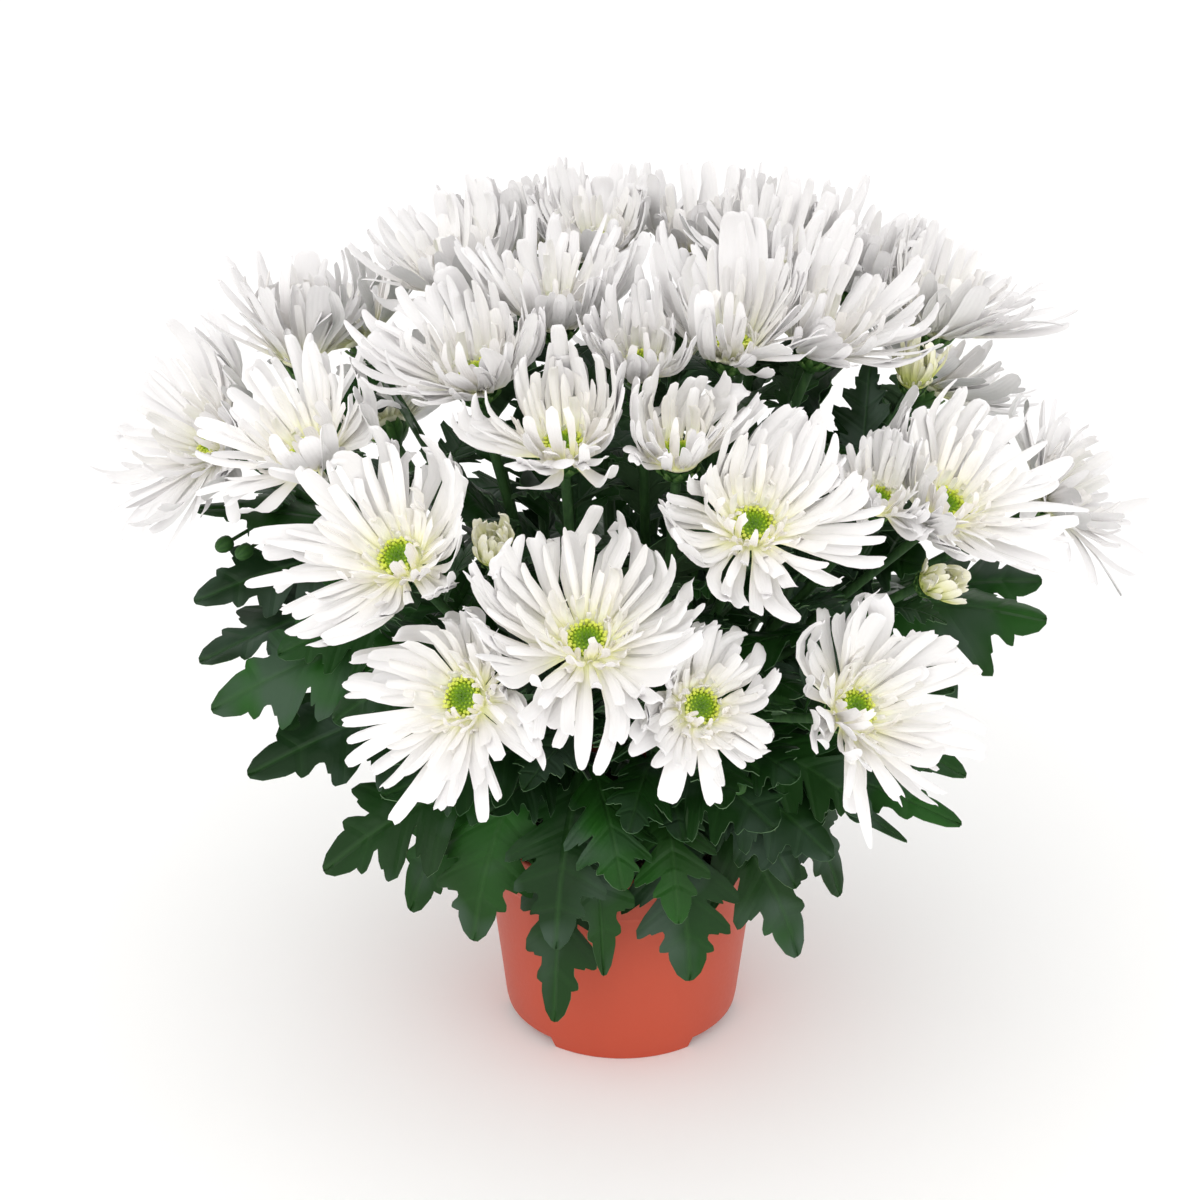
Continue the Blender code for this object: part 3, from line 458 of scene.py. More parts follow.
class Head:
    """Place and frame of one bloom's disc, with the walls that part it from its neighbours."""

    def __init__(self, number, bloom):
        out = towards(bloom.azimuth, bloom.climb)
        radii = [radius + bloom.lift * MM for radius in DOME_RADII]
        self.number = number
        self.bloom = bloom
        self.disc = DOME_CENTRE + Vector([r * o for r, o in zip(Vector(radii), out)])
        self.axis = towards(bloom.face_azimuth, bloom.face_climb)
        self.across = self.axis.cross(UP).normalized()
        self.over = self.across.cross(self.axis)
        self.seat = self.disc + self.axis * bloom.petal * MM * SEAT_SHARE
        self.walls = []

    def at(self, angle, radius, height):
        """Point round the head's axis, height above the top of the floret ring."""
        out = polar(self.across, self.over, angle)
        return self.disc + (out * radius + self.axis * height) * self.bloom.scale

    def ring(self, radius, height, sides):
        """Points of a level ring round the head's axis."""
        return [self.at(tau * k / sides, radius, height) for k in range(sides)]

    def part_from(self, other):
        """Add the wall half way to another head, shifted towards the smaller one."""
        line = other.seat - self.seat
        length = line.length
        mine = (self.bloom.petal * MM * 0.5) ** 2
        theirs = (other.bloom.petal * MM * 0.5) ** 2
        reach = length / 2 + (mine - theirs) / (2 * length)
        least = HEAD_ROOM * self.bloom.scale + (self.disc - self.seat).dot(line) / length
        most = length - HEAD_ROOM * other.bloom.scale - (other.seat - other.disc).dot(line) / length
        reach = min(max(reach, least), most)
        self.walls.append((self.seat + line * reach / length, -line / length))


def steer(point, way, side, half_width, walls):
    """Bend a floret's way so that it runs along a wall instead of through it."""
    for _ in range(3):
        for wall, inward in walls:
            room = (point - wall).dot(inward)
            if room > 2 * WALL_SOFTNESS + half_width:
                continue
            room -= WALL_CLEARANCE + half_width * abs(side.dot(inward))
            slack = way.dot(inward) + room / WALL_SOFTNESS
            if slack < 0:
                way = way - inward * slack
        way = way.normalized()
    return way


def floret_path(head, angle, climb, bend, length, width, curl, sway):
    """Centre line of a floret, from its root in the ring to its tip."""
    point = head.at(angle, ROOT_RADIUS, -ROOT_DEPTH)
    points = [point]
    for step in range(PATH_STEPS):
        along = (step + 0.5) / PATH_STEPS
        radial = polar(head.across, head.over, angle + sway * along)
        side = head.axis.cross(radial)
        rise = radians(climb + bend * along + curl * max(0.0, along - 0.6) / 0.4)
        way = polar(radial, head.axis, rise)
        way = steer(point, way, side, width * 0.5 * min(1.0, along * 1.6), head.walls)
        point = point + way * length / PATH_STEPS
        points.append(point)
    return points


def layer_values(bloom, layer, vary, spread):
    """Climb, bend, length and width of a floret in a layer, 0 outermost and 1 innermost."""
    inner_share = 0.30 + 0.006 * bloom.opening
    steepness = OPEN_STEEPNESS if bloom.opening < OPEN_HEAD else CUP_STEEPNESS
    climb = bloom.opening + (INNER_CLIMB - bloom.opening) * layer ** steepness
    climb += vary(-4, 4) * spread
    bend = vary(-8, 16) * (1 - layer)
    length = bloom.petal * MM * (1 - (1 - inner_share) * layer ** SHORTENING)
    length *= vary(0.9, 1.04)
    width = FLORET_WIDTH * bloom.scale * (1 - INNER_NARROWING * layer) * vary(0.85, 1.15)
    return climb, bend, length, width


def leading_florets(head):
    """Layer, angle, climb, bend, length and width of each floret that the solids have."""
    vary = random.Random(100 + head.number).uniform
    count = head.bloom.florets
    for index in range(count):
        layer = index / (count - 1)
        angle = index * GOLDEN_ANGLE + vary(-0.12, 0.12)
        yield (layer, angle, *layer_values(head.bloom, layer, vary, 1.0))


def companion_florets(head):
    """The many florets between the leading ones, by the same rule."""
    vary = random.Random(500 + head.number).uniform
    bloom = head.bloom
    count = round(bloom.florets * (OPEN_COMPANIONS if bloom.opening < OPEN_HEAD else COMPANIONS))
    start = vary(0, tau)
    for index in range(count):
        layer = min(max((index + vary(-0.5, 0.5)) / (count - 1), 0.0), 1.0)
        angle = start + index * GOLDEN_ANGLE + vary(-0.2, 0.2)
        climb, bend, length, width = layer_values(bloom, layer, vary, 2.0)
        reach = OPEN_REACH
        if bloom.opening > OPEN_HEAD:
            climb += vary(-24, 10)
            bend += vary(-30, 26)
            angle += vary(-0.25, 0.25)
            reach = CUP_REACH
        yield layer, angle, climb, bend, length * vary(0.68, reach), width


def quill_florets(head):
    """Short cream florets that make a ruffled ring round the disc."""
    vary = random.Random(900 + head.number).uniform
    start = vary(0, tau)
    scale = head.bloom.scale * MM
    opening = max(head.bloom.opening, 18)
    outer = (OUTER_QUILLS, 0.5, 0.9, 0.15, opening, 26, (11, 18), (-10, 30), (3.4, 5.0))
    inner = (INNER_QUILLS, 0, 1.0, 0.12, 30, 54, (4.5, 11), (-20, 50), (1.8, 3.0))
    for count, shift, layer, loose, low, span, lengths, bends, widths in (outer, inner):
        for index in range(count):
            angle = start + tau * (index + shift) / count + vary(-loose, loose)
            climb = low + vary(0, span)
            length = vary(*lengths) * scale
            yield layer, angle, climb, vary(*bends), length, vary(*widths) * scale


def along_path(path, share):
    """Point and direction at a share of a path's steps."""
    place = min(share * (len(path) - 1), len(path) - 1.001)
    step = int(place)
    part = place - step
    point = path[step].lerp(path[step + 1], part)
    before = path[max(step - 1, 0)]
    after = path[min(step + 2, len(path) - 1)]
    way = (path[step + 1] - path[step]).lerp((after - before) / 2, 0.5)
    return point, way.normalized()


def floret_form(bloom, layer, width, chance, quill, leader):
    """Form of a floret, its width among it, by chance."""
    vary = chance.uniform
    curl = chance.choice(CURLS) + INNER_CURL * layer
    sway = vary(-0.12, 0.12) if leader else vary(-0.5, 0.5)
    pointed = chance.random() < POINTED_SHARE
    notch = 0.0 if pointed or quill else chance.choice(NOTCHES) * MM
    rolled = quill or not leader and chance.random() < ROLLED_SHARE
    open_roll = vary(0.7, 1.5) if rolled else vary(0.08, 0.5)
    root_roll = 2.4 if quill else vary(1.2, 1.8)
    unrolled = vary(0.25, 0.55)
    if not quill:
        broad = BROAD_SHARE if bloom.opening < OPEN_HEAD else CUP_BROAD_SHARE
        width *= 1.3 if chance.random() < broad and layer < 0.5 else vary(0.62, 1.0)
        width *= 1.12 - 0.34 * layer
    return Form(curl, sway, pointed, notch, open_roll, root_roll, unrolled, width, vary(-0.5, 0.5))


def floret_section(head, path, angle, form, station, share):
    """Points round a floret at a station, rolled about its inner side and notched in its middle."""
    centre, way = along_path(path, station)
    tangent = polar(head.over, -head.across, angle + form.sway * station)
    side = (tangent - way * tangent.dot(way)).normalized()
    side = Quaternion(way, form.twist * station) @ side
    normal = way.cross(side)
    roll = form.open_roll + (form.root_roll - form.open_roll) * (1 - ramp(station, 0.0, form.unrolled))
    reach = form.width * 0.5 * share / roll
    thick = PETAL_THICKNESS * (0.6 + 0.4 * share)
    notch = way * form.notch * ramp(station, 0.85, 0.985)
    points = []
    for spot, level in SECTION:
        bow = roll * spot
        out = side * sin(bow) * reach + normal * (1 - cos(bow)) * reach
        outward = side * sin(bow) - normal * cos(bow)
        points.append(centre + out + outward * thick * level - notch * (1 - abs(spot)) ** 2)
    return points


def add_floret(sheet, head, values, chance, quill=False, leader=False):
    """White floret: rolled at its root, opening into a strap with a blunt, notched or pointed tip."""
    layer, angle, climb, bend, length, width = values
    form = floret_form(head.bloom, layer, width, chance, quill, leader)
    if head.bloom.petal < YOUNG_PETAL:
        bend += YOUNG_BEND
    path = floret_path(head, angle, climb, bend, length, width, form.curl, form.sway)
    step = 2 if quill or not leader and layer > SHORT_LAYER else 1
    stations = STATIONS[::step]
    widths = POINTED_WIDTHS if form.pointed else STRAP_WIDTHS
    points = []
    for station, share in zip(stations, widths[::step]):
        points += floret_section(head, path, angle, form, station, share)
    tip, way = along_path(path, 1.0)
    points.append(tip - way * form.notch)
    faces = ring_faces(len(stations), len(SECTION)) + tip_faces(len(points) - 1, len(SECTION))
    along = [station for station in stations for _ in SECTION] + [1.0]
    across = [spot for spot, _ in SECTION] * len(stations) + [0.0]
    under = [level for _, level in SECTION] * len(stations) + [0.0]
    sheet.add(points, faces, along=along, layer=layer, across=across, under=under)


def add_seat(sheet, head):
    """Small pale ring round the neck in which the florets stand."""
    sides = 20
    profile = ((4.1, -0.1), (6.6, -0.4), (8.4, -1.6), (8.0, -2.6), (4.1, -5.6))
    points = []
    for radius, height in profile:
        points += head.ring(radius * MM, height * MM, sides)
    rings = ring_faces(len(profile) + 1, sides, False)
    faces = [tuple(index % len(points) for index in face) for face in rings]
    sheet.add(points, faces, along=0.12, layer=0.5)


def make_bloom(name, head, finishes):
    """One bloom's white florets."""
    chance = random.Random(1300 + head.number)
    sheet = Sheet()
    add_seat(sheet, head)
    for values in leading_florets(head):
        add_floret(sheet, head, values, chance, leader=True)
    for values in companion_florets(head):
        add_floret(sheet, head, values, chance)
    for values in quill_florets(head):
        add_floret(sheet, head, values, chance, quill=True)
    bloom = head.bloom
    finish = "petal"
    if bloom.petal < YOUNG_PETAL:
        finish = "young_petal"
    elif bloom.climb >= CROWN_CLIMB or abs(bloom.azimuth) >= SIDE_AZIMUTH:
        # Crown and side blooms take the petal copy with painted shade
        finish = "shaded_crown_petal"
    stand_in(sheet.make("florets_" + name[-2:], [finishes[finish]]), name)


def shoot_line(start, head):
    """Points of the shoot that carries a head, as the solids have them."""
    end = head.disc - head.axis * HEAD_DEPTH * head.bloom.scale
    reach = (end - start).length
    outward = Vector((end.x - start.x, end.y - start.y, 0)) * 0.5
    rise = (outward + UP * reach).normalized()
    curve = [start, start + rise * reach * 0.35, end - head.axis * reach * 0.33, end]
    return [bezier(curve, t) for t in (0.0, 0.5, 1.0)]


def stem_line(azimuth):
    """Points of a rooted stem: its foot in the soil, a point above the soil and its top."""
    out = towards(azimuth)
    return [
        out * STEM_RING + UP * STEM_FOOT,
        out * STEM_RING + UP * (POT_HEIGHT + 4 * MM),
        out * STEM_TOP_RING + UP * STEM_TOP,
    ]


def rounded(line, share, count):
    """Line of three points with its corner rounded over a share of each side."""
    a = line[1].lerp(line[0], share)
    b = line[1].lerp(line[2], share)
    corner = [bezier([a, line[1], b], k / count) for k in range(count + 1)]
    low = [line[0].lerp(a, k / count) for k in range(count)]
    high = [b.lerp(line[2], k / count) for k in range(1, count + 1)]
    return low + corner + high


def add_tube(sheet, line, radii, sides, ridge=0.0):
    """Green tube along a line of points, with shallow ridges."""
    across = Vector((1, 0.3, 0.1)).normalized()
    points = []
    along = []
    for step, (centre, radius) in enumerate(zip(line, radii)):
        way = (line[min(step + 1, len(line) - 1)] - line[max(step - 1, 0)]).normalized()
        across = (across - way * across.dot(way)).normalized()
        points += circle(centre, across, way.cross(across), radius, sides, ridge)
        along += [step / (len(line) - 1)] * sides
    sheet.add(points, ring_faces(len(line), sides, end=True), STEM_SLOT, along=along)


def add_calyx(sheet, head):
    """Green cup under a head with two rows of bracts, and the neck through the floret ring."""
    sides = 18
    profile = (
        (1.7, -13), (2.6, -11.6), (4.6, -9.6), (6.6, -7.0), (7.6, -4.6), (7.4, -3.8), (3.7, -6.4), (3.7, 0.2),
    )
    points = []
    along = []
    for radius, height in profile:
        points += head.ring(radius * MM, height * MM, sides)
        along += [0.5 + 0.04 * height] * sides
    faces = ring_faces(len(profile), sides, end=True)
    sheet.add(points, faces, STEM_SLOT, along=along, layer=0.4)
    vary = random.Random(1700 + head.number).uniform
    for row, (low, high, radius, count) in enumerate(((-10.6, -5.2, 8.3, 9), (-9.4, -3.0, 9.2, 11))):
        for index in range(count):
            angle = tau * (index + 0.5 * row) / count + vary(-0.06, 0.06)
            add_bract(sheet, head, angle, low, high + vary(-0.6, 0.6), radius)


def add_bract(sheet, head, angle, low, high, radius):
    """Tongue-shaped green scale on the cup."""
    points = []
    along = []
    inner = 3.4 + (low + 10.6) * 0.9
    for step, half in ((0.0, 1.3), (0.35, 1.75), (0.7, 1.5), (0.92, 0.8), (1.0, 0.2)):
        height = low + (high - low) * step
        out = inner + (radius - inner) * sin(step * 1.45)
        for spot, lift in ((-1, 0.0), (0, 0.55), (1, 0.0), (0, -0.4)):
            turn = angle + spot * half / max(out, 3.0)
            points.append(head.at(turn, (out + lift) * MM, height * MM))
            along.append(0.25 + 0.6 * step)
    sheet.add(points, ring_faces(5, 4, end=True), STEM_SLOT, along=along, layer=0.7)


def add_disc(sheet, head):
    """Disc of tiny packed florets: yellow open ones outside, lime and dark green buds inside."""
    chance = random.Random(2100 + head.number)
    vary = chance.uniform
    sides = 14
    rings = ((1.0, 0.5), (0.93, 1.5), (0.7, 2.4), (0.35, 2.5))
    points = []
    along = []
    for share, height in rings:
        points += head.ring(DISC_RADIUS * 1.02 * share, height * MM, sides)
        along += [share * 0.7] * sides
    points.append(head.at(0, 0, 2.2 * MM))
    along.append(0.0)
    faces = ring_faces(len(rings), sides) + tip_faces(len(points) - 1, sides)
    sheet.add(points, faces, DISC_SLOT, along=along)
    for index in range(DISC_FLORETS):
        share = sqrt((index + 0.5) / DISC_FLORETS)
        base = 2.6 - 3.5 * max(0.0, share - 0.3) ** 2 - 0.6 * (1 - ramp(share, 0.0, 0.4))
        top = base + vary(0.7, 1.1) + 0.7 * ramp(share, 0.6, 1.0)
        if share > 0.75 and chance.random() < 0.4:
            top += vary(0.3, 1.4)
        add_disc_floret(sheet, head, index * GOLDEN_ANGLE, share, base, top)


def add_disc_floret(sheet, head, angle, share, base, top):
    """One tiny disc floret: a five-sided bud that widens at its mouth."""
    points = []
    out = polar(head.across, head.over, angle)
    side = head.axis.cross(out)
    open_one = share > OPEN_FLORET
    size = (0.40 + 0.20 * share) * MM * head.bloom.scale
    radius = DISC_RADIUS * 1.08 * share
    lean = 0.6 * MM * share
    for height, spread, shift in ((base - 0.5, 0.8, 0.0), (top, 1.4 if open_one else 0.85, lean)):
        centre = head.at(angle, radius + shift, height * MM)
        points += [centre + polar(out, side, tau * k / 5) * size * spread for k in range(5)]
    points.append(head.at(angle, radius + lean, (top - (0.4 if open_one else -0.35)) * MM))
    faces = ring_faces(2, 5, False) + tip_faces(10, 5) + [(1, 0, 4, 3, 2)]
    sheet.add(points, faces, DISC_SLOT, along=share, layer=[0.2] * 5 + [1.0] * 6)


def add_bud(sheet, root, tip):
    """Closed green bud on its thin stalk."""
    way = (tip - root).normalized()
    across = way.orthogonal().normalized()
    over = way.cross(across)
    sides, ridge = BUD_RIDGES
    profile = ((1.0, 0.30), (0.94, 0.52), (0.84, 0.88), (0.62, 1.0), (0.36, 0.96), (0.15, 0.74), (0.04, 0.42))
    line = [root.lerp(tip - way * BUD_LENGTH, k / 6) for k in range(7)]
    add_tube(sheet, line, [BUD_STALK] * len(line), 8)
    points = []
    along = []
    for back, share in profile:
        points += circle(tip - way * BUD_LENGTH * back, across, over, BUD_RADIUS * share, sides, ridge)
        along += [0.5 * (side % 2) * (1 - back) for side in range(sides)]
    faces = ring_faces(len(profile), sides) + tip_faces(len(points), sides)
    sheet.add([*points, tip], faces, STEM_SLOT, along=[*along, 0.2], layer=0.9)


def leaf_shape(steps, blade):
    """Leaf outline as pairs: where a side vein leaves the midrib, and half width along that vein."""
    places = {0.155, 1.0}
    for middle, reach, _, _ in LEAF_LOBES:
        places |= {middle + reach * step * way for step in steps for way in (-1, 1)}
    rows = [(0.0, 0.05), (0.09, 0.045), (0.13, 0.08)]
    for place in sorted(places):
        if place - rows[-1][0] < LEAF_ROW_GAP and place < 1.0:
            continue
        widest = min(blade, LEAF_TAPER * (1 - place)) * ramp(place, 0.13, 0.2)
        for middle, reach, width, bluntness in LEAF_LOBES:
            off = abs(place - middle) / reach
            if off < 1:
                widest = max(widest, width * sqrt(1 - off ** bluntness))
        rows.append((place, widest))
    return rows


def leaf_curve(leaf, root, swing, dip):
    """Control points of a leaf's midrib, swung about the vertical and dipped at its root."""
    chord = cylinder_point(*leaf[3:6]) - root
    level = chord.cross(UP).normalized()
    turn = Quaternion(UP, radians(swing)) @ Quaternion(level, radians(dip))
    chord = turn @ chord
    lift = (UP - chord * chord.z / chord.length_squared).normalized()
    return [root, root + chord * 0.5 + lift * leaf.arch * MM, root + chord]


def leaf_height(t, out, share, along, phase, way, fold, droop):
    """Height of a leaf's upper side off its flat, in half widths: fold, droop, waves and midrib."""
    wave = 0.13 * sin(along * 11 + phase + way) * share
    wave += 0.06 * sin(share * 6 + along * 19 + phase) * share
    rib = -0.035 * ramp(1 - out, 0.6, 1.0) * ramp(t, 0.15, 0.3)
    return share * fold - droop * share * share + wave + rib


def leaf_thickness(t, out):
    """Thickness of a leaf: thinner at the rim, with a keel along the midrib."""
    thick = LEAF_THICKNESS * (1.0 if out < 1 else 0.8)
    return thick + 1.4 * MM * (1 - ramp(t, 0.1, 0.9)) * (1 - out) ** 3


def add_leaf(sheet, curve, width, roll, fold, number, shape, columns=LEAF_COLUMNS):
    """Lobed leaf whose rows run out along its side veins, as a thin closed blade."""
    chord = curve[2] - curve[0]
    length = chord.length
    chord = chord / length
    lift = (curve[1] - (curve[0] + curve[2]) / 2).normalized()
    lift = Quaternion(chord, radians(roll)) @ lift
    side = chord.cross(lift)
    half = width * MM * 0.5
    vary = random.Random(2500 + number).uniform
    phase = vary(0, 6)
    sides = [(vary(0.84, 1.06), vary(-0.07, 0.05)) for _ in range(2)]
    droop = vary(0.08, 0.32)
    slant = LEAF_SLANT * half / length
    top = []
    bottom = []
    values = []
    for t, reach in shape:
        for column in range(-columns, columns + 1):
            way = 1 if column >= 0 else -1
            scale, skew = sides[column >= 0]
            out = abs(column) / columns
            share = reach * (scale if t > 0.14 else 1.0) * out
            along = t + skew * sin(pi * t) * out + slant * share * (1 - t) ** 0.35
            centre = bezier(curve, min(along, 1.0)) + chord * length * max(0.0, along - 1.0)
            height = leaf_height(t, out, share, along, phase, way, fold, droop)
            top.append(centre + side * way * half * share + lift * half * height)
            bottom.append(top[-1] - lift * leaf_thickness(t, out))
            values.append((along, way * share, t))
    add_blade(sheet, top, bottom, 2 * columns + 1, values, vary(0, 1))


def add_blade(sheet, top, bottom, wide, values, tone):
    """Closed blade from its upper and lower points in rows; upper side, lower side, then rim."""
    rows = len(top) // wide
    count = len(top)
    upper = []
    lower = []
    for row in range(rows - 1):
        for column in range(wide - 1):
            a = row * wide + column
            upper.append((a, a + 1, a + wide + 1, a + wide))
            b = a + count
            lower.append((b, b + wide, b + wide + 1, b + 1))
    rim = list(range(wide))
    rim += [row * wide + wide - 1 for row in range(1, rows)]
    rim += [(rows - 1) * wide + column for column in range(wide - 2, -1, -1)]
    rim += [row * wide for row in range(rows - 2, 0, -1)]
    border = [(a, b, b + count, a + count) for a, b in zip(rim, rim[1:] + rim[:1])]
    slots = [LEAF_SLOT] * len(upper) + [UNDER_SLOT] * len(lower) + [EDGE_SLOT] * len(border)
    along, across, under = [list(row) * 2 for row in zip(*values)]
    faces = upper + lower + border
    sheet.add(top + bottom, faces, slots, layer=tone, along=along, across=across, under=under)


def nearest_on(lines, place):
    """Point of the shoots that lies nearest to a place."""
    found = []
    for line in lines:
        for start, end in zip(line, line[1:]):
            _, along = intersect_point_line(place, start, end)
            found.append(start.lerp(end, min(max(along, 0.08), 0.85)))
    return min(found, key=lambda point: (point - place).length)


def in_share(start, end, azimuth):
    """True where an azimuth lies in a stem's share of the head, from start to end."""
    return (azimuth - start) % 360 < (end - start) % 360


def all_leaves():
    """Leaves of each stem: those in view and its share of the tiers round the back."""
    leaves = {name: [Leaf(*row) for row in rows] for name, rows in LEAVES.items()}
    start = START_AZIMUTH
    for name, (_, end) in STEMS.items():
        for tier, (first, last, count, *shape) in enumerate(LEAF_TIERS):
            for step in range(count):
                azimuth = first + (last - first) * step / (count - 1)
                if in_share(start, end, azimuth):
                    vary = random.Random(tier * 50 + step).uniform
                    root_radius, root_height, tip_radius, tip_height, arch, width = shape
                    tip_radius += vary(-8, 8)
                    tip_height += vary(-10, 10)
                    tip = (azimuth + vary(-5, 5), tip_radius, tip_height)
                    leaves[name].append(Leaf(azimuth, root_radius, root_height, *tip, arch, width))
        start = end
    return leaves


def placed_curve(leaf, root, corners):
    """Midrib of a leaf at the swing and dip that its solid has, found by its tip, or None."""
    curves = [leaf_curve(leaf, root, swing, dip) for swing in SWINGS for dip in DIPS]
    gaps = [corners.find(curve[2])[2] for curve in curves]
    apart = min(gaps)
    return curves[gaps.index(apart)] if apart < TIP_MATCH else None


def corner_tree(node):
    """Search tree of the corners of a CAD node."""
    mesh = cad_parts[node].data
    tree = KDTree(len(mesh.vertices))
    for index, vertex in enumerate(mesh.vertices):
        tree.insert(vertex.co, index)
    tree.balance()
    return tree


def solid_tree(node):
    """Search tree of the triangles of a CAD node."""
    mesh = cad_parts[node].data
    return BVHTree.FromPolygons([v.co for v in mesh.vertices], [tuple(p.vertices) for p in mesh.polygons])


def add_shoot(sheet, lines, head):
    """Shoot from the stem, the first of the lines, to a head, with its cup and disc."""
    height = FORK_LOW + (FORK_HIGH - FORK_LOW) * (len(lines) * FORK_STEP % 1.0)
    shoot = shoot_line(lines[0][1].lerp(lines[0][2], height), head)
    lines.append(shoot)
    smooth = rounded(shoot, 0.35, 6)
    smooth.append(shoot[-1] + head.axis * 3 * MM * head.bloom.scale)
    count = len(smooth)
    radii = [SHOOT_RADIUS * (1.2 - 0.25 * k / count) for k in range(count)]
    add_tube(sheet, smooth, radii, *SHOOT_RIDGES)
    add_calyx(sheet, head)
    add_disc(sheet, head)


def make_stems(heads, finishes):
    """Leafy stems, each one piece with its leaves, shoots, cups, discs and buds."""
    sheets = {}
    lines = {}
    start = START_AZIMUTH
    for name, (azimuth, end) in STEMS.items():
        sheet = sheets[name] = Sheet()
        line = stem_line(azimuth)
        lines[name] = [line]
        smooth = rounded(line, 0.4, 5)
        radii = [STEM_RADIUS * (1.0 - STEM_TAPER * ramp(p.z, STEM_TAPER_FROM, STEM_TOP)) for p in smooth]
        add_tube(sheet, smooth, radii, *STEM_RIDGES)
        for head in heads.values():
            if in_share(start, end, azimuth_of(head.disc)):
                add_shoot(sheet, lines[name], head)
        for row in BUDS.get(name, ()):
            root = nearest_on(lines[name][1:], cylinder_point(*row[:3]))
            add_bud(sheet, root, cylinder_point(*row[3:]))
        start = end
    add_leaves(sheets, lines)
    add_small_leaves(sheets, lines, heads)
    for name, sheet in sheets.items():
        item = sheet.make(name.replace("leafy_stem", "plant"), [finishes[key] for key in SLOT_FINISHES])
        stand_in(item, name)


def add_leaves(sheets, lines):
    """Leaves of the tables, each where its solid lies."""
    shapes = [leaf_shape(LEAF_STEPS, blade) for blade in LEAF_BLADES]
    number = 0
    for name, leaves in all_leaves().items():
        corners = corner_tree(name)
        for leaf in leaves:
            number += 1
            vary = random.Random(300 + number).uniform
            roll = vary(-LEAF_ROLL, LEAF_ROLL) + LEAF_TURN * sin(radians(leaf.tip_azimuth))
            fold = vary(*LEAF_FOLD)
            root = nearest_on(lines[name][1:], cylinder_point(*leaf[:3]))
            curve = placed_curve(leaf, root, corners)
            if curve:
                shape = shapes[number % len(shapes)]
                add_leaf(sheets[name], curve, leaf.width * LEAF_GROWTH, roll, fold, number, shape)


def shoot_tries(vary, shoot, share, outward):
    """Midribs and widths to try for a small leaf on a shoot, round an azimuth where one is given."""
    root = nearest_on([shoot], bezier(shoot, share))
    for _ in range(SMALL_LEAF_TRIES):
        length = vary(*SMALL_LEAF_LENGTHS)
        way = towards(vary(0, 360), vary(-10, 60))
        if outward is not None:
            way = towards(outward + vary(-80, 80), vary(-5, 35))
        tip = root + way * length * MM
        lift = (UP - way * way.z).normalized()
        middle = (root + tip) / 2 + lift * vary(3, 8) * MM
        yield [root, middle, tip], length * vary(0.5, 0.66)


def fill_tries(vary, shoots, row):
    """Midribs and widths to try for a leaf whose widest part lies close to a place, facing forwards."""
    aim = cylinder_point(*row)
    for _ in range(FILL_TRIES):
        widest = aim + Vector([vary(-9, 9) * MM for _ in range(3)])
        root = nearest_on(shoots, widest - UP * vary(-20, 45) * MM)
        tip = root + (widest - root) * 1.5
        way = tip - root
        length = way.length / MM
        if FILL_LENGTHS[0] < length < FILL_LENGTHS[1]:
            way = way.normalized()
            lift = (FILL_FACING - way * way.dot(FILL_FACING)).normalized()
            middle = (root + tip) / 2 + lift * vary(2, 6) * MM
            yield [root, middle, tip], length * vary(0.55, 0.75)


def add_small_leaves(sheets, lines, heads):
    """Small young leaves, each where it clears the solids and blooms round it."""
    blooms = [solid_tree(node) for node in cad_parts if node.startswith("bloom")]
    others = blooms + [solid_tree(name) for name in lines]
    shape = leaf_shape(SMALL_LEAF_STEPS, LEAF_BLADES[1])
    number = 0
    for name, shoots in lines.items():
        way_out = azimuth_of(shoots[0][2])
        places = [(shoot, share, None) for shoot in shoots[1:] for share in SMALL_LEAF_PLACES]
        lows = [shoots[1 + k % (len(shoots) - 1)] for k in range(LOW_LEAVES)]
        places += [(shoot, LOW_LEAF_PLACE, way_out) for shoot in lows]
        for shoot, share, outward in places:
            number += 1
            vary = random.Random(3000 + number).uniform
            found = first_clear(shoot_tries(vary, shoot, share, outward), others, heads)
            if found:
                roll = vary(-SMALL_LEAF_ROLL, SMALL_LEAF_ROLL)
                fold = vary(*SMALL_LEAF_FOLD)
                add_leaf(sheets[name], *found, roll, fold, 200 + number, shape, SMALL_LEAF_COLUMNS)
    for name, rows in FILL_PLACES.items():
        for row in rows:
            number += 1
            vary = random.Random(4000 + number).uniform
            found = first_clear(fill_tries(vary, lines[name][1:], row), others, heads)
            if found:
                fold = vary(*SMALL_LEAF_FOLD)
                roll = vary(-SMALL_LEAF_ROLL, SMALL_LEAF_ROLL)
                add_leaf(sheets[name], *found, roll, fold, number, shape, SMALL_LEAF_COLUMNS)


def first_clear(tries, others, heads):
    """First of the tried midribs and widths that meets nothing."""
    return next((found for found in tries if small_leaf_clear(*found, others, heads)), None)


def in_a_bloom(point, heads):
    """True where a point lies among a head's florets."""
    for head in heads.values():
        reach = point - head.disc
        if reach.length > head.bloom.petal * MM + BLOOM_ROOM:
            continue
        height = reach.dot(head.axis)
        radius = (reach - head.axis * height).length
        slope = tan(radians(head.bloom.opening - BLOOM_SAG))
        if height > radius * slope - BLOOM_DEPTH:
            return True
    return False


def small_leaf_clear(curve, width, others, heads):
    """True where a flat stand-in for a small leaf meets no solid and no bloom."""
    chord = (curve[2] - curve[0]).normalized()
    lift = (curve[1] - (curve[0] + curve[2]) / 2).normalized()
    side = chord.cross(lift)
    points = []
    for t, share in ((0.25, 0.3), (0.5, 1.0), (0.75, 0.9), (1.0, 0.1)):
        centre = bezier(curve, t)
        points += [centre + side * share * width * MM * 0.5, centre - side * share * width * MM * 0.5]
    if any(in_a_bloom(point, heads) for point in points):
        return False
    tree = BVHTree.FromPolygons(points, [(0, 2, 3, 1), (2, 4, 5, 3), (4, 6, 7, 5)])
    return not any(tree.overlap(other) for other in others)


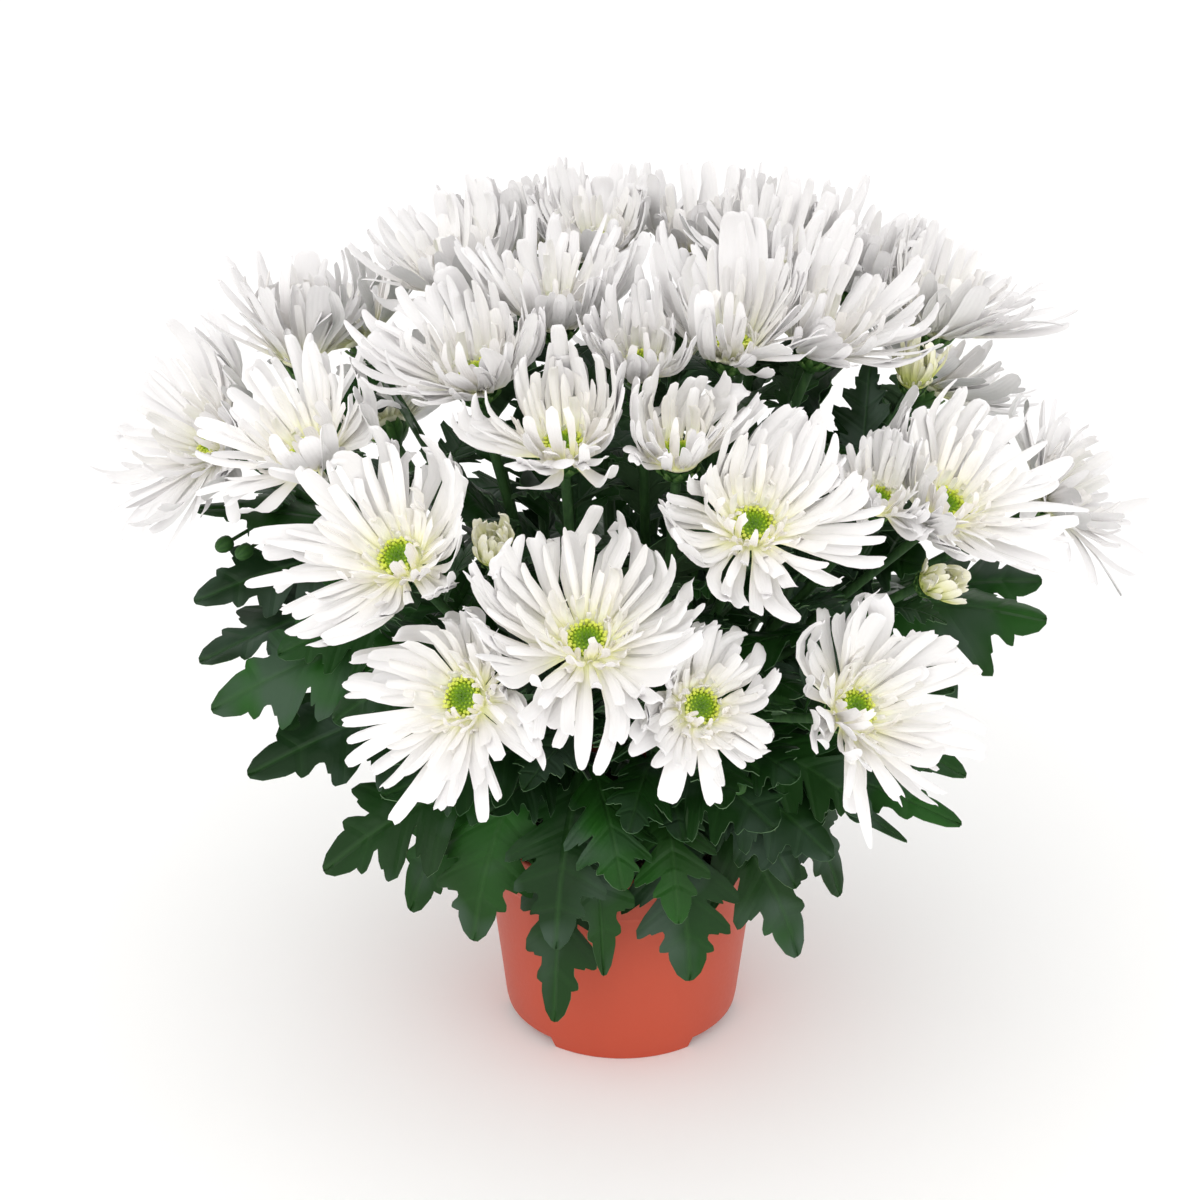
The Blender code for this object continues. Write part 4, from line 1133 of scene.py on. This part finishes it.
def spin_profile(name, profile, steps):
    """Turned body from a profile of radius and height pairs that starts and ends on the axis."""
    work = bmesh.new()
    verts = [work.verts.new((radius, 0, height)) for radius, height in profile]
    edges = [work.edges.new(pair) for pair in zip(verts, verts[1:])]
    bmesh.ops.spin(
        work, geom=verts + edges, cent=(0, 0, 0), axis=UP, angle=tau, steps=steps, use_merge=True
    )
    bmesh.ops.remove_doubles(work, verts=work.verts, dist=1e-6)
    bmesh.ops.recalc_face_normals(work, faces=work.faces)
    mesh = bpy.data.meshes.new(name)
    work.to_mesh(mesh)
    work.free()
    return add_object(name, mesh)


def arc(centre, radius, start, end, count):
    """Points of an arc in the profile plane."""
    turns = [radians(start + (end - start) * k / count) for k in range(count + 1)]
    return [(centre[0] + radius * cos(a), centre[1] + radius * sin(a)) for a in turns]


def shifted(*rows):
    """Profile points from rows of a radius, mm added to it, a height and mm added to it."""
    return [(radius + out * MM, height + up * MM) for radius, out, height, up in rows]


def pot_wall(height):
    """Outer radius of the pot at a height above its corner."""
    slope = (WALL_TOP_RADIUS - CORNER_RADIUS) / (POT_HEIGHT - RIM_HEIGHT - CORNER_HEIGHT)
    return CORNER_RADIUS + slope * (height - CORNER_HEIGHT)


def pot_profile():
    """Pot profile with a rounded lip, corner and foot."""
    band = POT_HEIGHT - RIM_HEIGHT
    ring = FOOT_RADIUS - FOOT_WIDTH
    low = FOOT_HEIGHT
    inner = FOOT_RADIUS - WALL
    floor = FOOT_HEIGHT + FLOOR
    ledge = (71.4 * MM, 72 * MM)
    return [
        *shifted((0, 0, low, 0), (0, 4, low, 0), (0, 4.4, low, -0.4), (0, 8, low, -0.4), (0, 8.4, low, 0)),
        *shifted((ring, -0.4, low, 0), (ring, 0, low, -0.4), (ring, 0, 0, 0.4), (ring, 0.4, 0, 0)),
        (FOOT_RADIUS - 0.7 * MM, 0),
        *arc((FOOT_RADIUS - 0.7 * MM, 0.7 * MM), 0.7 * MM, -90, 0, 4),
        *shifted((FOOT_RADIUS, 0.7, low, 0), (FOOT_RADIUS, 1.3, low, 3)),
        *[(pot_wall(height * MM), height * MM) for height in (12, 20, 30, 45, 60, 70, 71)],
        *shifted(*[(pot_wall(height), 0.25, height, 0) for height in ledge]),
        *shifted((pot_wall(band), -0.05, band, -0.6), (pot_wall(band), 0.3, band, 0)),
        *shifted((RIM_RADIUS, -1.2, band, 0), (RIM_RADIUS, -0.7, band, 0.2), (RIM_RADIUS, -0.5, band, 0.7)),
        (RIM_RADIUS, POT_HEIGHT - 2.4 * MM),
        *arc((RIM_RADIUS - 1.2 * MM, POT_HEIGHT - 1.2 * MM), 1.2 * MM, 10, 150, 7),
        *shifted((WALL_TOP_RADIUS, 0.4, POT_HEIGHT, -1.6), (WALL_TOP_RADIUS - WALL, 0, band, -2)),
        *shifted((inner, 0.8, floor, 2), (inner, -1, floor, 0), (0, 0, floor, 0)),
    ]


def notch_cutter(middle):
    """Wedge that opens the foot ring over one notch, with sloping ends."""
    points = []
    steps = 12
    for height, spare in ((-1 * MM, 0.0), (FOOT_HEIGHT, 3.0)):
        half = NOTCH_ANGLE / 2 - spare
        turns = [half * (2 * k / steps - 1) for k in range(steps + 1)]
        for radius, order in ((FOOT_RADIUS - 3 * FOOT_WIDTH, turns), (FOOT_RADIUS + 6 * MM, turns[::-1])):
            points += [towards(middle + turn) * radius + UP * height for turn in order]
    return mesh_object("notch", points, ring_faces(2, 2 * (steps + 1), end=True))


def drain_cutter(turn):
    """Upright prism that cuts a drain hole."""
    place = towards(turn) * DRAIN_RING
    points = []
    for height in (-6 * MM, 10 * MM):
        for k in range(DRAIN_SIDES):
            out = towards(360 / DRAIN_SIDES * k) * DRAIN_RADIUS
            points.append(place + out + UP * (height + FOOT_HEIGHT / 2))
    return mesh_object("drain", points, ring_faces(2, DRAIN_SIDES, end=True))


def cut_holes(body):
    """Cut the foot notches and the drain holes into the pot, and give its new mesh."""
    holes = bpy.data.collections.new("holes")
    bpy.context.scene.collection.children.link(holes)
    cutters = [notch_cutter(180 + 360 * k / FOOT_COUNT) for k in range(FOOT_COUNT)]
    cutters += [drain_cutter(360 * k / DRAIN_COUNT) for k in range(DRAIN_COUNT)]
    for cutter in cutters:
        bpy.context.scene.collection.objects.unlink(cutter)
        holes.objects.link(cutter)
    difference = body.modifiers.new("Cut", "BOOLEAN")
    difference.operation = "DIFFERENCE"
    difference.operand_type = "COLLECTION"
    difference.collection = holes
    difference.solver = "MANIFOLD"
    graph = bpy.context.evaluated_depsgraph_get()
    mesh = bpy.data.meshes.new_from_object(body.evaluated_get(graph))
    body.modifiers.clear()
    body.data = mesh
    for cutter in cutters:
        bpy.data.objects.remove(cutter, do_unlink=True)
    bpy.data.collections.remove(holes)
    return mesh


def make_pot(finish):
    """The moulded pot."""
    body = spin_profile("nursery_pot", pot_profile(), POT_SIDES)
    mesh = cut_holes(body)
    mesh.materials.clear()
    mesh.materials.append(finish)
    mesh.shade_smooth()
    mesh.set_sharp_from_angle(angle=POT_SHARP_EDGE)
    stand_in(body, "pot")


def level_ring(radius, height):
    """Ring of points in the soil."""
    return [towards(360 * k / SOIL_SIDES) * radius + UP * height for k in range(SOIL_SIDES)]


def make_soil(finish):
    """Crumbly peat with loose crumbs and fibres on top."""
    sheet = Sheet()
    top_radius = WALL_TOP_RADIUS - WALL - 1.2 * MM
    floor = FOOT_HEIGHT + FLOOR + 0.3 * MM
    points = [Vector((0, 0, floor))]
    points += level_ring(FOOT_RADIUS - WALL - 0.4 * MM, floor + 1 * MM)
    points += level_ring(top_radius, SOIL_TOP - SOIL_MOUND)
    for ring in range(1, SOIL_RINGS):
        share = 1 - ring / SOIL_RINGS
        height = SOIL_TOP - SOIL_MOUND * share * share
        for spot in level_ring(top_radius * share, 0):
            rough = noise.fractal(spot * 260, 0.8, 2.1, 4) * 1.1 + noise.noise(spot * 60) * 0.9
            points.append(spot + UP * (height + rough * MM - 0.6 * MM))
    points.append(UP * (SOIL_TOP - 0.6 * MM))
    faces = [(0, 1 + k, 1 + (k + 1) % SOIL_SIDES) for k in range(SOIL_SIDES)]
    faces += [tuple(1 + k for k in face) for face in ring_faces(SOIL_RINGS + 1, SOIL_SIDES, False)]
    faces += tip_faces(len(points) - 1, SOIL_SIDES)
    sheet.add(points, faces, along=0.5, layer=0.5)
    chance = random.Random(77)
    for _ in range(CRUMBS):
        turn = chance.uniform(0, 360)
        radius = top_radius * 0.97 * sqrt(chance.random())
        size = chance.choice(CRUMB_SIZES) * MM
        height = SOIL_TOP - SOIL_MOUND * (radius / top_radius) ** 2
        add_crumb(sheet, towards(turn) * radius + UP * (height - 0.4 * MM), size, chance)
    stand_in(sheet.make("potting_soil", [finish]), "soil")


def add_crumb(sheet, centre, size, chance):
    """Irregular crumb of peat, or a short bark fibre."""
    vary = chance.uniform
    stretch = Vector([vary(0.6, 1.3) for _ in range(3)])
    if chance.random() < FIBRE_SHARE:
        stretch = Vector((3.2, 0.4, 0.4))
    axle = Vector((vary(-1, 1), vary(-1, 1), vary(1, 2))).normalized()
    spin = Quaternion(axle, vary(0, 6.28))
    points = []
    for height, radius, turn in ((-0.8, 0.55, 0.0), (0.0, 1.0, 0.5), (0.8, 0.5, 0.0)):
        for k in range(6):
            a = tau * (k + turn) / 6
            r = radius * vary(0.75, 1.15)
            spot = Vector((r * cos(a), r * sin(a), height)) * size
            spot = Vector([s * v for s, v in zip(stretch, spot)])
            points.append(centre + spin @ spot)
    sheet.add(points, ring_faces(3, 6, end=True), along=chance.random(), layer=1.0)


# Materials


class Nodes:
    """Short way to build a procedural Principled material."""

    def __init__(self, name):
        self.material = bpy.data.materials.new(name)
        self.material.use_nodes = True
        self.tree = self.material.node_tree
        self.shader = self.tree.nodes["Principled BSDF"]

    def fill(self, node, inputs):
        """Join sockets to a node's inputs, or set the inputs' values."""
        for key, source in inputs.items():
            if isinstance(source, bpy.types.NodeSocket):
                self.tree.links.new(source, node.inputs[key])
            else:
                node.inputs[key].default_value = source

    def node(self, kind, inputs, output=0, **values):
        """Output of a new node with its properties and inputs set."""
        made = self.tree.nodes.new("ShaderNode" + kind)
        for key, value in values.items():
            setattr(made, key, value)
        self.fill(made, inputs)
        return made.outputs[output]

    def value(self, name):
        """Value stored at the points."""
        return self.node("Attribute", {}, "Fac", attribute_name=name)

    def math(self, operation, a, b=0.0):
        """Math node."""
        return self.node("Math", {0: a, 1: b}, operation=operation)

    def noise(self, scale, detail, rough, stretch=None):
        """Noise value over the object, with its coordinates stretched where asked."""
        place = self.node("TexCoord", {}, "Object")
        if stretch:
            place = self.node("Mapping", {"Scale": stretch, "Vector": place})
        inputs = {"Scale": scale, "Detail": detail, "Roughness": rough, "Vector": place}
        return self.node("TexNoise", inputs, "Fac")

    def ramp(self, value, *stops):
        """Colour ramp from places and linear colours."""
        made = self.tree.nodes.new("ShaderNodeValToRGB")
        band = made.color_ramp.elements
        while len(band) < len(stops):
            band.new(0.5)
        for element, (place, colour) in zip(band, stops):
            element.position = place
            element.color = (*colour, 1.0)
        self.fill(made, {0: value})
        return made.outputs[0]

    def mix(self, share, a, b):
        """Mix two colours, through the node's colour sockets."""
        a, b = [(*colour, 1.0) if isinstance(colour, tuple) else colour for colour in (a, b)]
        return self.node("Mix", {0: share, 6: a, 7: b}, 2, data_type="RGBA")

    def spread(self, value, low, high):
        """Map 0..1 to a range."""
        return self.node("MapRange", {"Value": value, "To Min": low, "To Max": high})

    def bump(self, height, distance, strength, before=None):
        """Bump, on top of an earlier one where given."""
        inputs = {"Height": height, "Distance": distance, "Strength": strength}
        if before:
            inputs["Normal"] = before
        return self.node("Bump", inputs)

    def finish(self, colour, rough, specular, normal=None):
        """Fill the shader."""
        inputs = {"Base Color": colour, "Roughness": rough, "Specular IOR Level": specular}
        if normal:
            inputs["Normal"] = normal
        self.fill(self.shader, inputs)
        return self.material


def petal_material(name, young=False, grey=0.0):
    """White petal: yellow-green at its root, cream inside the head, painted shade beneath and at the tips,
    faint veins.

    A grey share paints shade on the florets of the crown and the sides. A faint glow near the roots of
    open blooms stands in for the light that real petals let through.
    """
    n = Nodes(name)
    along = n.value("along")
    inner = n.ramp(n.value("layer"), (0.6, BLACK), (1.0, WHITE))
    if young:
        heart = (0.97, 0.97, 0.72)
        shade = 0.1
        base = n.ramp(along, (0.0, (0.40, 0.48, 0.08)), (0.3, (0.74, 0.79, 0.26)),
                      (0.65, (0.93, 0.92, 0.62)), (1.0, (0.97, 0.95, 0.84)))
    else:
        heart = (0.99, 0.93, 0.80)
        shade = 0.4
        lower = n.math("SUBTRACT", along, n.math("MULTIPLY", inner, 0.26))
        # The last stop greys the tips: painted shade
        base = n.ramp(lower, (0.0, (0.84, 0.88, 0.22)), (0.14, (0.98, 0.975, 0.61)),
                      (0.24, (0.98, 0.965, 0.84)), (0.38, (0.98, 0.957, 0.92)),
                      (0.6, (0.948, 0.936, 0.928)), (1.0, (0.89, 0.875, 0.878)))
    base = n.mix(n.math("MULTIPLY", inner, 0.45), base, heart)
    # Greyer underside: painted shade
    base = n.mix(n.math("MULTIPLY", n.value("under"), shade), base, (0.87, 0.86, 0.875))
    patch = n.noise(24.0, 1.0, 0.5)
    # On crown and side blooms the grey share paints shade; on the others the patches are a random tone
    tone_patch_and_shade = (0.81, 0.795, 0.80) if grey else (0.885, 0.87, 0.865)
    colour = n.mix(n.spread(patch, 0.8 * grey, 0.4 * shade + grey), base, tone_patch_and_shade)
    vein = n.math("PINGPONG", n.math("MULTIPLY", n.value("across"), 2.5), 0.5)
    if not young and not grey:
        lit = n.math("SUBTRACT", along, n.math("MULTIPLY", inner, 0.5))
        glow = n.ramp(lit, (0.0, (0.80, 0.78, 0.66)), (0.10, (0.50, 0.49, 0.44)), (0.25, BLACK))
        n.fill(n.shader, {"Emission Color": glow, "Emission Strength": HEART_GLOW})
    return n.finish(colour, n.spread(patch, 0.42, 0.58), 0.25, n.bump(vein, 0.0002, 0.6))


def vein_shares(n):
    """Values that are 1 on a leaf's midrib and on its side veins and fall off beside them."""
    reach = n.math("ABSOLUTE", n.value("across"))
    midrib = n.ramp(reach, (0.0, WHITE), (0.06, BLACK))
    start, rate = LEAF_VEINS
    saw = n.math("MULTIPLY", n.math("SUBTRACT", n.value("under"), start), rate)
    saw = n.math("ADD", n.math("PINGPONG", saw, 0.5), n.math("MULTIPLY", reach, 0.03))
    return midrib, n.ramp(saw, (0.0, WHITE), (0.14, BLACK))


def leaf_material(name, under):
    """Leaf: dark blade with paler midrib and side veins, painted grey sheen in patches, grey-green beneath.
    """
    n = Nodes(name)
    midrib, side = vein_shares(n)
    patch = n.noise(15.0, 2.0, 0.5)
    if under:
        blade = n.ramp(patch, (0.3, (0.032, 0.072, 0.030)), (0.7, (0.050, 0.095, 0.041)))
        vein = (0.08, 0.145, 0.065)
        rough = n.spread(patch, 0.6, 0.72)
    else:
        blade = n.ramp(patch, (0.30, (0.0125, 0.040, 0.0080)), (0.5, (0.0150, 0.062, 0.0095)),
                       (0.62, (0.0180, 0.090, 0.0110)), (0.75, (0.0240, 0.125, 0.0140)))
        blade = n.mix(n.value("layer"), blade, (0.0080, 0.027, 0.0080))
        # Grey patches in the blade's colour are a painted sheen
        sheen = n.ramp(n.noise(40.0, 1.0, 0.5), (0.50, BLACK), (0.68, (0.8, 0.8, 0.8)))
        blade = n.mix(sheen, blade, (0.052, 0.088, 0.060))
        vein = (0.040, 0.120, 0.028)
        rough = n.spread(patch, 0.34, 0.46)
    colour = n.mix(n.math("MULTIPLY", side, 0.09), blade, vein)
    colour = n.mix(n.math("MULTIPLY", midrib, 0.35), colour, vein)
    sunk = n.math("ADD", n.math("MULTIPLY", side, 0.5), midrib)
    normal = n.bump(n.math("MULTIPLY", sunk, 1.0 if under else -1.0), 0.0008, 0.7)
    normal = n.bump(n.noise(420.0, 1.0, 0.6), 0.00012, 0.5, normal)
    return n.finish(colour, rough, 0.15, normal)


def mottled(name, scale, low, high, rough, specular):
    """Plain material whose colour and roughness vary softly, as on leaf rims and the floor."""
    n = Nodes(name)
    patch = n.noise(scale, 2.0, 0.5)
    return n.finish(n.ramp(patch, low, high), n.spread(patch, *rough), specular)


def stem_material():
    """Green stems, cups and buds with long fine ridges."""
    n = Nodes("green_stem")
    ridge = n.noise(30.0, 3.0, 0.6, (14, 14, 1.5))
    base = n.ramp(ridge, (0.3, (0.014, 0.048, 0.012)), (0.7, (0.038, 0.100, 0.026)))
    cup = n.ramp(n.value("along"), (0.0, (0.020, 0.070, 0.014)), (0.6, (0.040, 0.120, 0.020)),
                 (1.0, (0.13, 0.22, 0.06)))
    colour = n.mix(n.math("GREATER_THAN", n.value("layer"), 0.2), base, cup)
    return n.finish(colour, n.spread(ridge, 0.5, 0.68), 0.25, n.bump(ridge, 0.0003, 0.7))


def disc_material():
    """Disc florets: dark green in the middle, lime, then yellow at the rim."""
    n = Nodes("lime_disc")
    ring = n.value("along")
    low = n.ramp(ring, (0.0, (0.07, 0.17, 0.006)), (0.5, (0.22, 0.38, 0.012)), (1.0, (0.62, 0.66, 0.06)))
    high = n.ramp(ring, (0.0, (0.11, 0.27, 0.010)), (0.35, (0.24, 0.47, 0.014)),
                  (0.6, (0.52, 0.71, 0.03)), (0.8, (0.80, 0.87, 0.10)), (1.0, (0.92, 0.93, 0.32)))
    grain = n.noise(800.0, 2.0, 0.5)
    colour = n.mix(n.spread(grain, 0.0, 0.3), n.mix(n.value("layer"), low, high), (0.10, 0.22, 0.01))
    return n.finish(colour, n.spread(grain, 0.45, 0.6), 0.4, n.bump(grain, 0.0002, 0.5))


def pot_material():
    """Moulded orange plastic: satin, with a faint flow pattern and tiny pits."""
    n = Nodes("orange_plastic")
    flow = n.noise(7.0, 3.0, 0.6, (1, 1, 0.25))
    grain = n.noise(600.0, 3.0, 0.6)
    colour = n.ramp(flow, (0.3, (0.450, 0.059, 0.025)), (0.7, (0.522, 0.075, 0.034)))
    colour = n.mix(n.spread(grain, 0.0, 0.12), colour, (0.38, 0.05, 0.022))
    normal = n.bump(flow, 0.0006, 0.3, n.bump(grain, 0.00006, 0.6))
    return n.finish(colour, n.spread(grain, 0.38, 0.5), 0.4, normal)


def soil_material():
    """Dark moist peat."""
    n = Nodes("peat")
    patch = n.noise(160.0, 5.0, 0.7)
    base = n.ramp(patch, (0.3, (0.012, 0.008, 0.005)), (0.7, (0.045, 0.028, 0.018)))
    crumb = n.ramp(n.value("along"), (0.0, (0.012, 0.008, 0.006)), (0.8, (0.05, 0.032, 0.02)),
                   (1.0, (0.16, 0.11, 0.06)))
    colour = n.mix(n.math("MULTIPLY", n.value("layer"), 0.6), base, crumb)
    return n.finish(colour, n.spread(patch, 0.85, 1.0), 0.25, n.bump(patch, 0.001, 0.9))


def make_studio():
    """Floor, lights and world."""
    scene = bpy.context.scene
    far = FLOOR_REACH
    floor = mesh_object(
        "studio_floor", [(-far, -far, 0), (far, -far, 0), (far, far, 0), (-far, far, 0)], [(0, 1, 2, 3)]
    )
    pale = (0.3, (0.975, 0.975, 0.975)), (0.7, (0.985, 0.985, 0.985))
    floor.data.materials.append(mottled("studio_floor", 3.0, *pale, (0.85, 0.95), 0.1))
    for name, place, size, power, colour in LIGHTS:
        light = bpy.data.lights.new(name, "AREA")
        light.size = size
        light.energy = power
        light.color = colour
        item = add_object(name, light)
        item.location = place
        item.rotation_euler = (LIGHT_TARGET - Vector(place)).to_track_quat("-Z", "Y").to_euler()
    scene.world = bpy.data.worlds.new("studio")
    scene.world.use_nodes = True
    background = scene.world.node_tree.nodes["Background"]
    background.inputs["Color"].default_value = WORLD_COLOUR
    background.inputs["Strength"].default_value = WORLD_STRENGTH
    scene.view_settings.view_transform = "Standard"
    scene.view_settings.look = "None"
    scene.view_settings.exposure = 0.0
    scene.view_settings.gamma = 1.0


def make_camera():
    """The photograph's camera."""
    camera = bpy.data.cameras.new("camera")
    camera.sensor_width = 36
    camera.lens = CAMERA_LENS
    item = add_object("camera", camera)
    item.location = CAMERA_PLACE
    item.rotation_euler = (radians(90 - CAMERA_DIP), 0, 0)
    bpy.context.scene.camera = item


def build():
    """Dress the whole plant."""
    rim = (0.35, (0.03, 0.09, 0.03)), (0.65, (0.13, 0.22, 0.11))
    finishes = {
        "petal": petal_material("white_petal"),
        "shaded_crown_petal": petal_material("shaded_crown_petal", grey=0.4),
        "young_petal": petal_material("young_petal", young=True),
        "leaf": leaf_material("leaf", under=False),
        "leaf_under": leaf_material("leaf_under", under=True),
        "leaf_edge": mottled("leaf_edge", 60.0, *rim, (0.5, 0.65), 0.2),
        "stem": stem_material(),
        "disc": disc_material(),
    }
    blooms = {f"bloom_{number:02d}": Bloom(*row) for number, row in enumerate(BLOOM_ROWS, 1)}
    heads = {name: Head(int(name[-2:]), bloom) for name, bloom in blooms.items()}
    for head in heads.values():
        for other in heads.values():
            if other is not head and (other.disc - head.disc).length < WALL_REACH:
                head.part_from(other)
    for name, head in heads.items():
        make_bloom(name, head, finishes)
    make_stems(heads, finishes)
    make_pot(pot_material())
    make_soil(soil_material())
    make_studio()
    make_camera()


build()
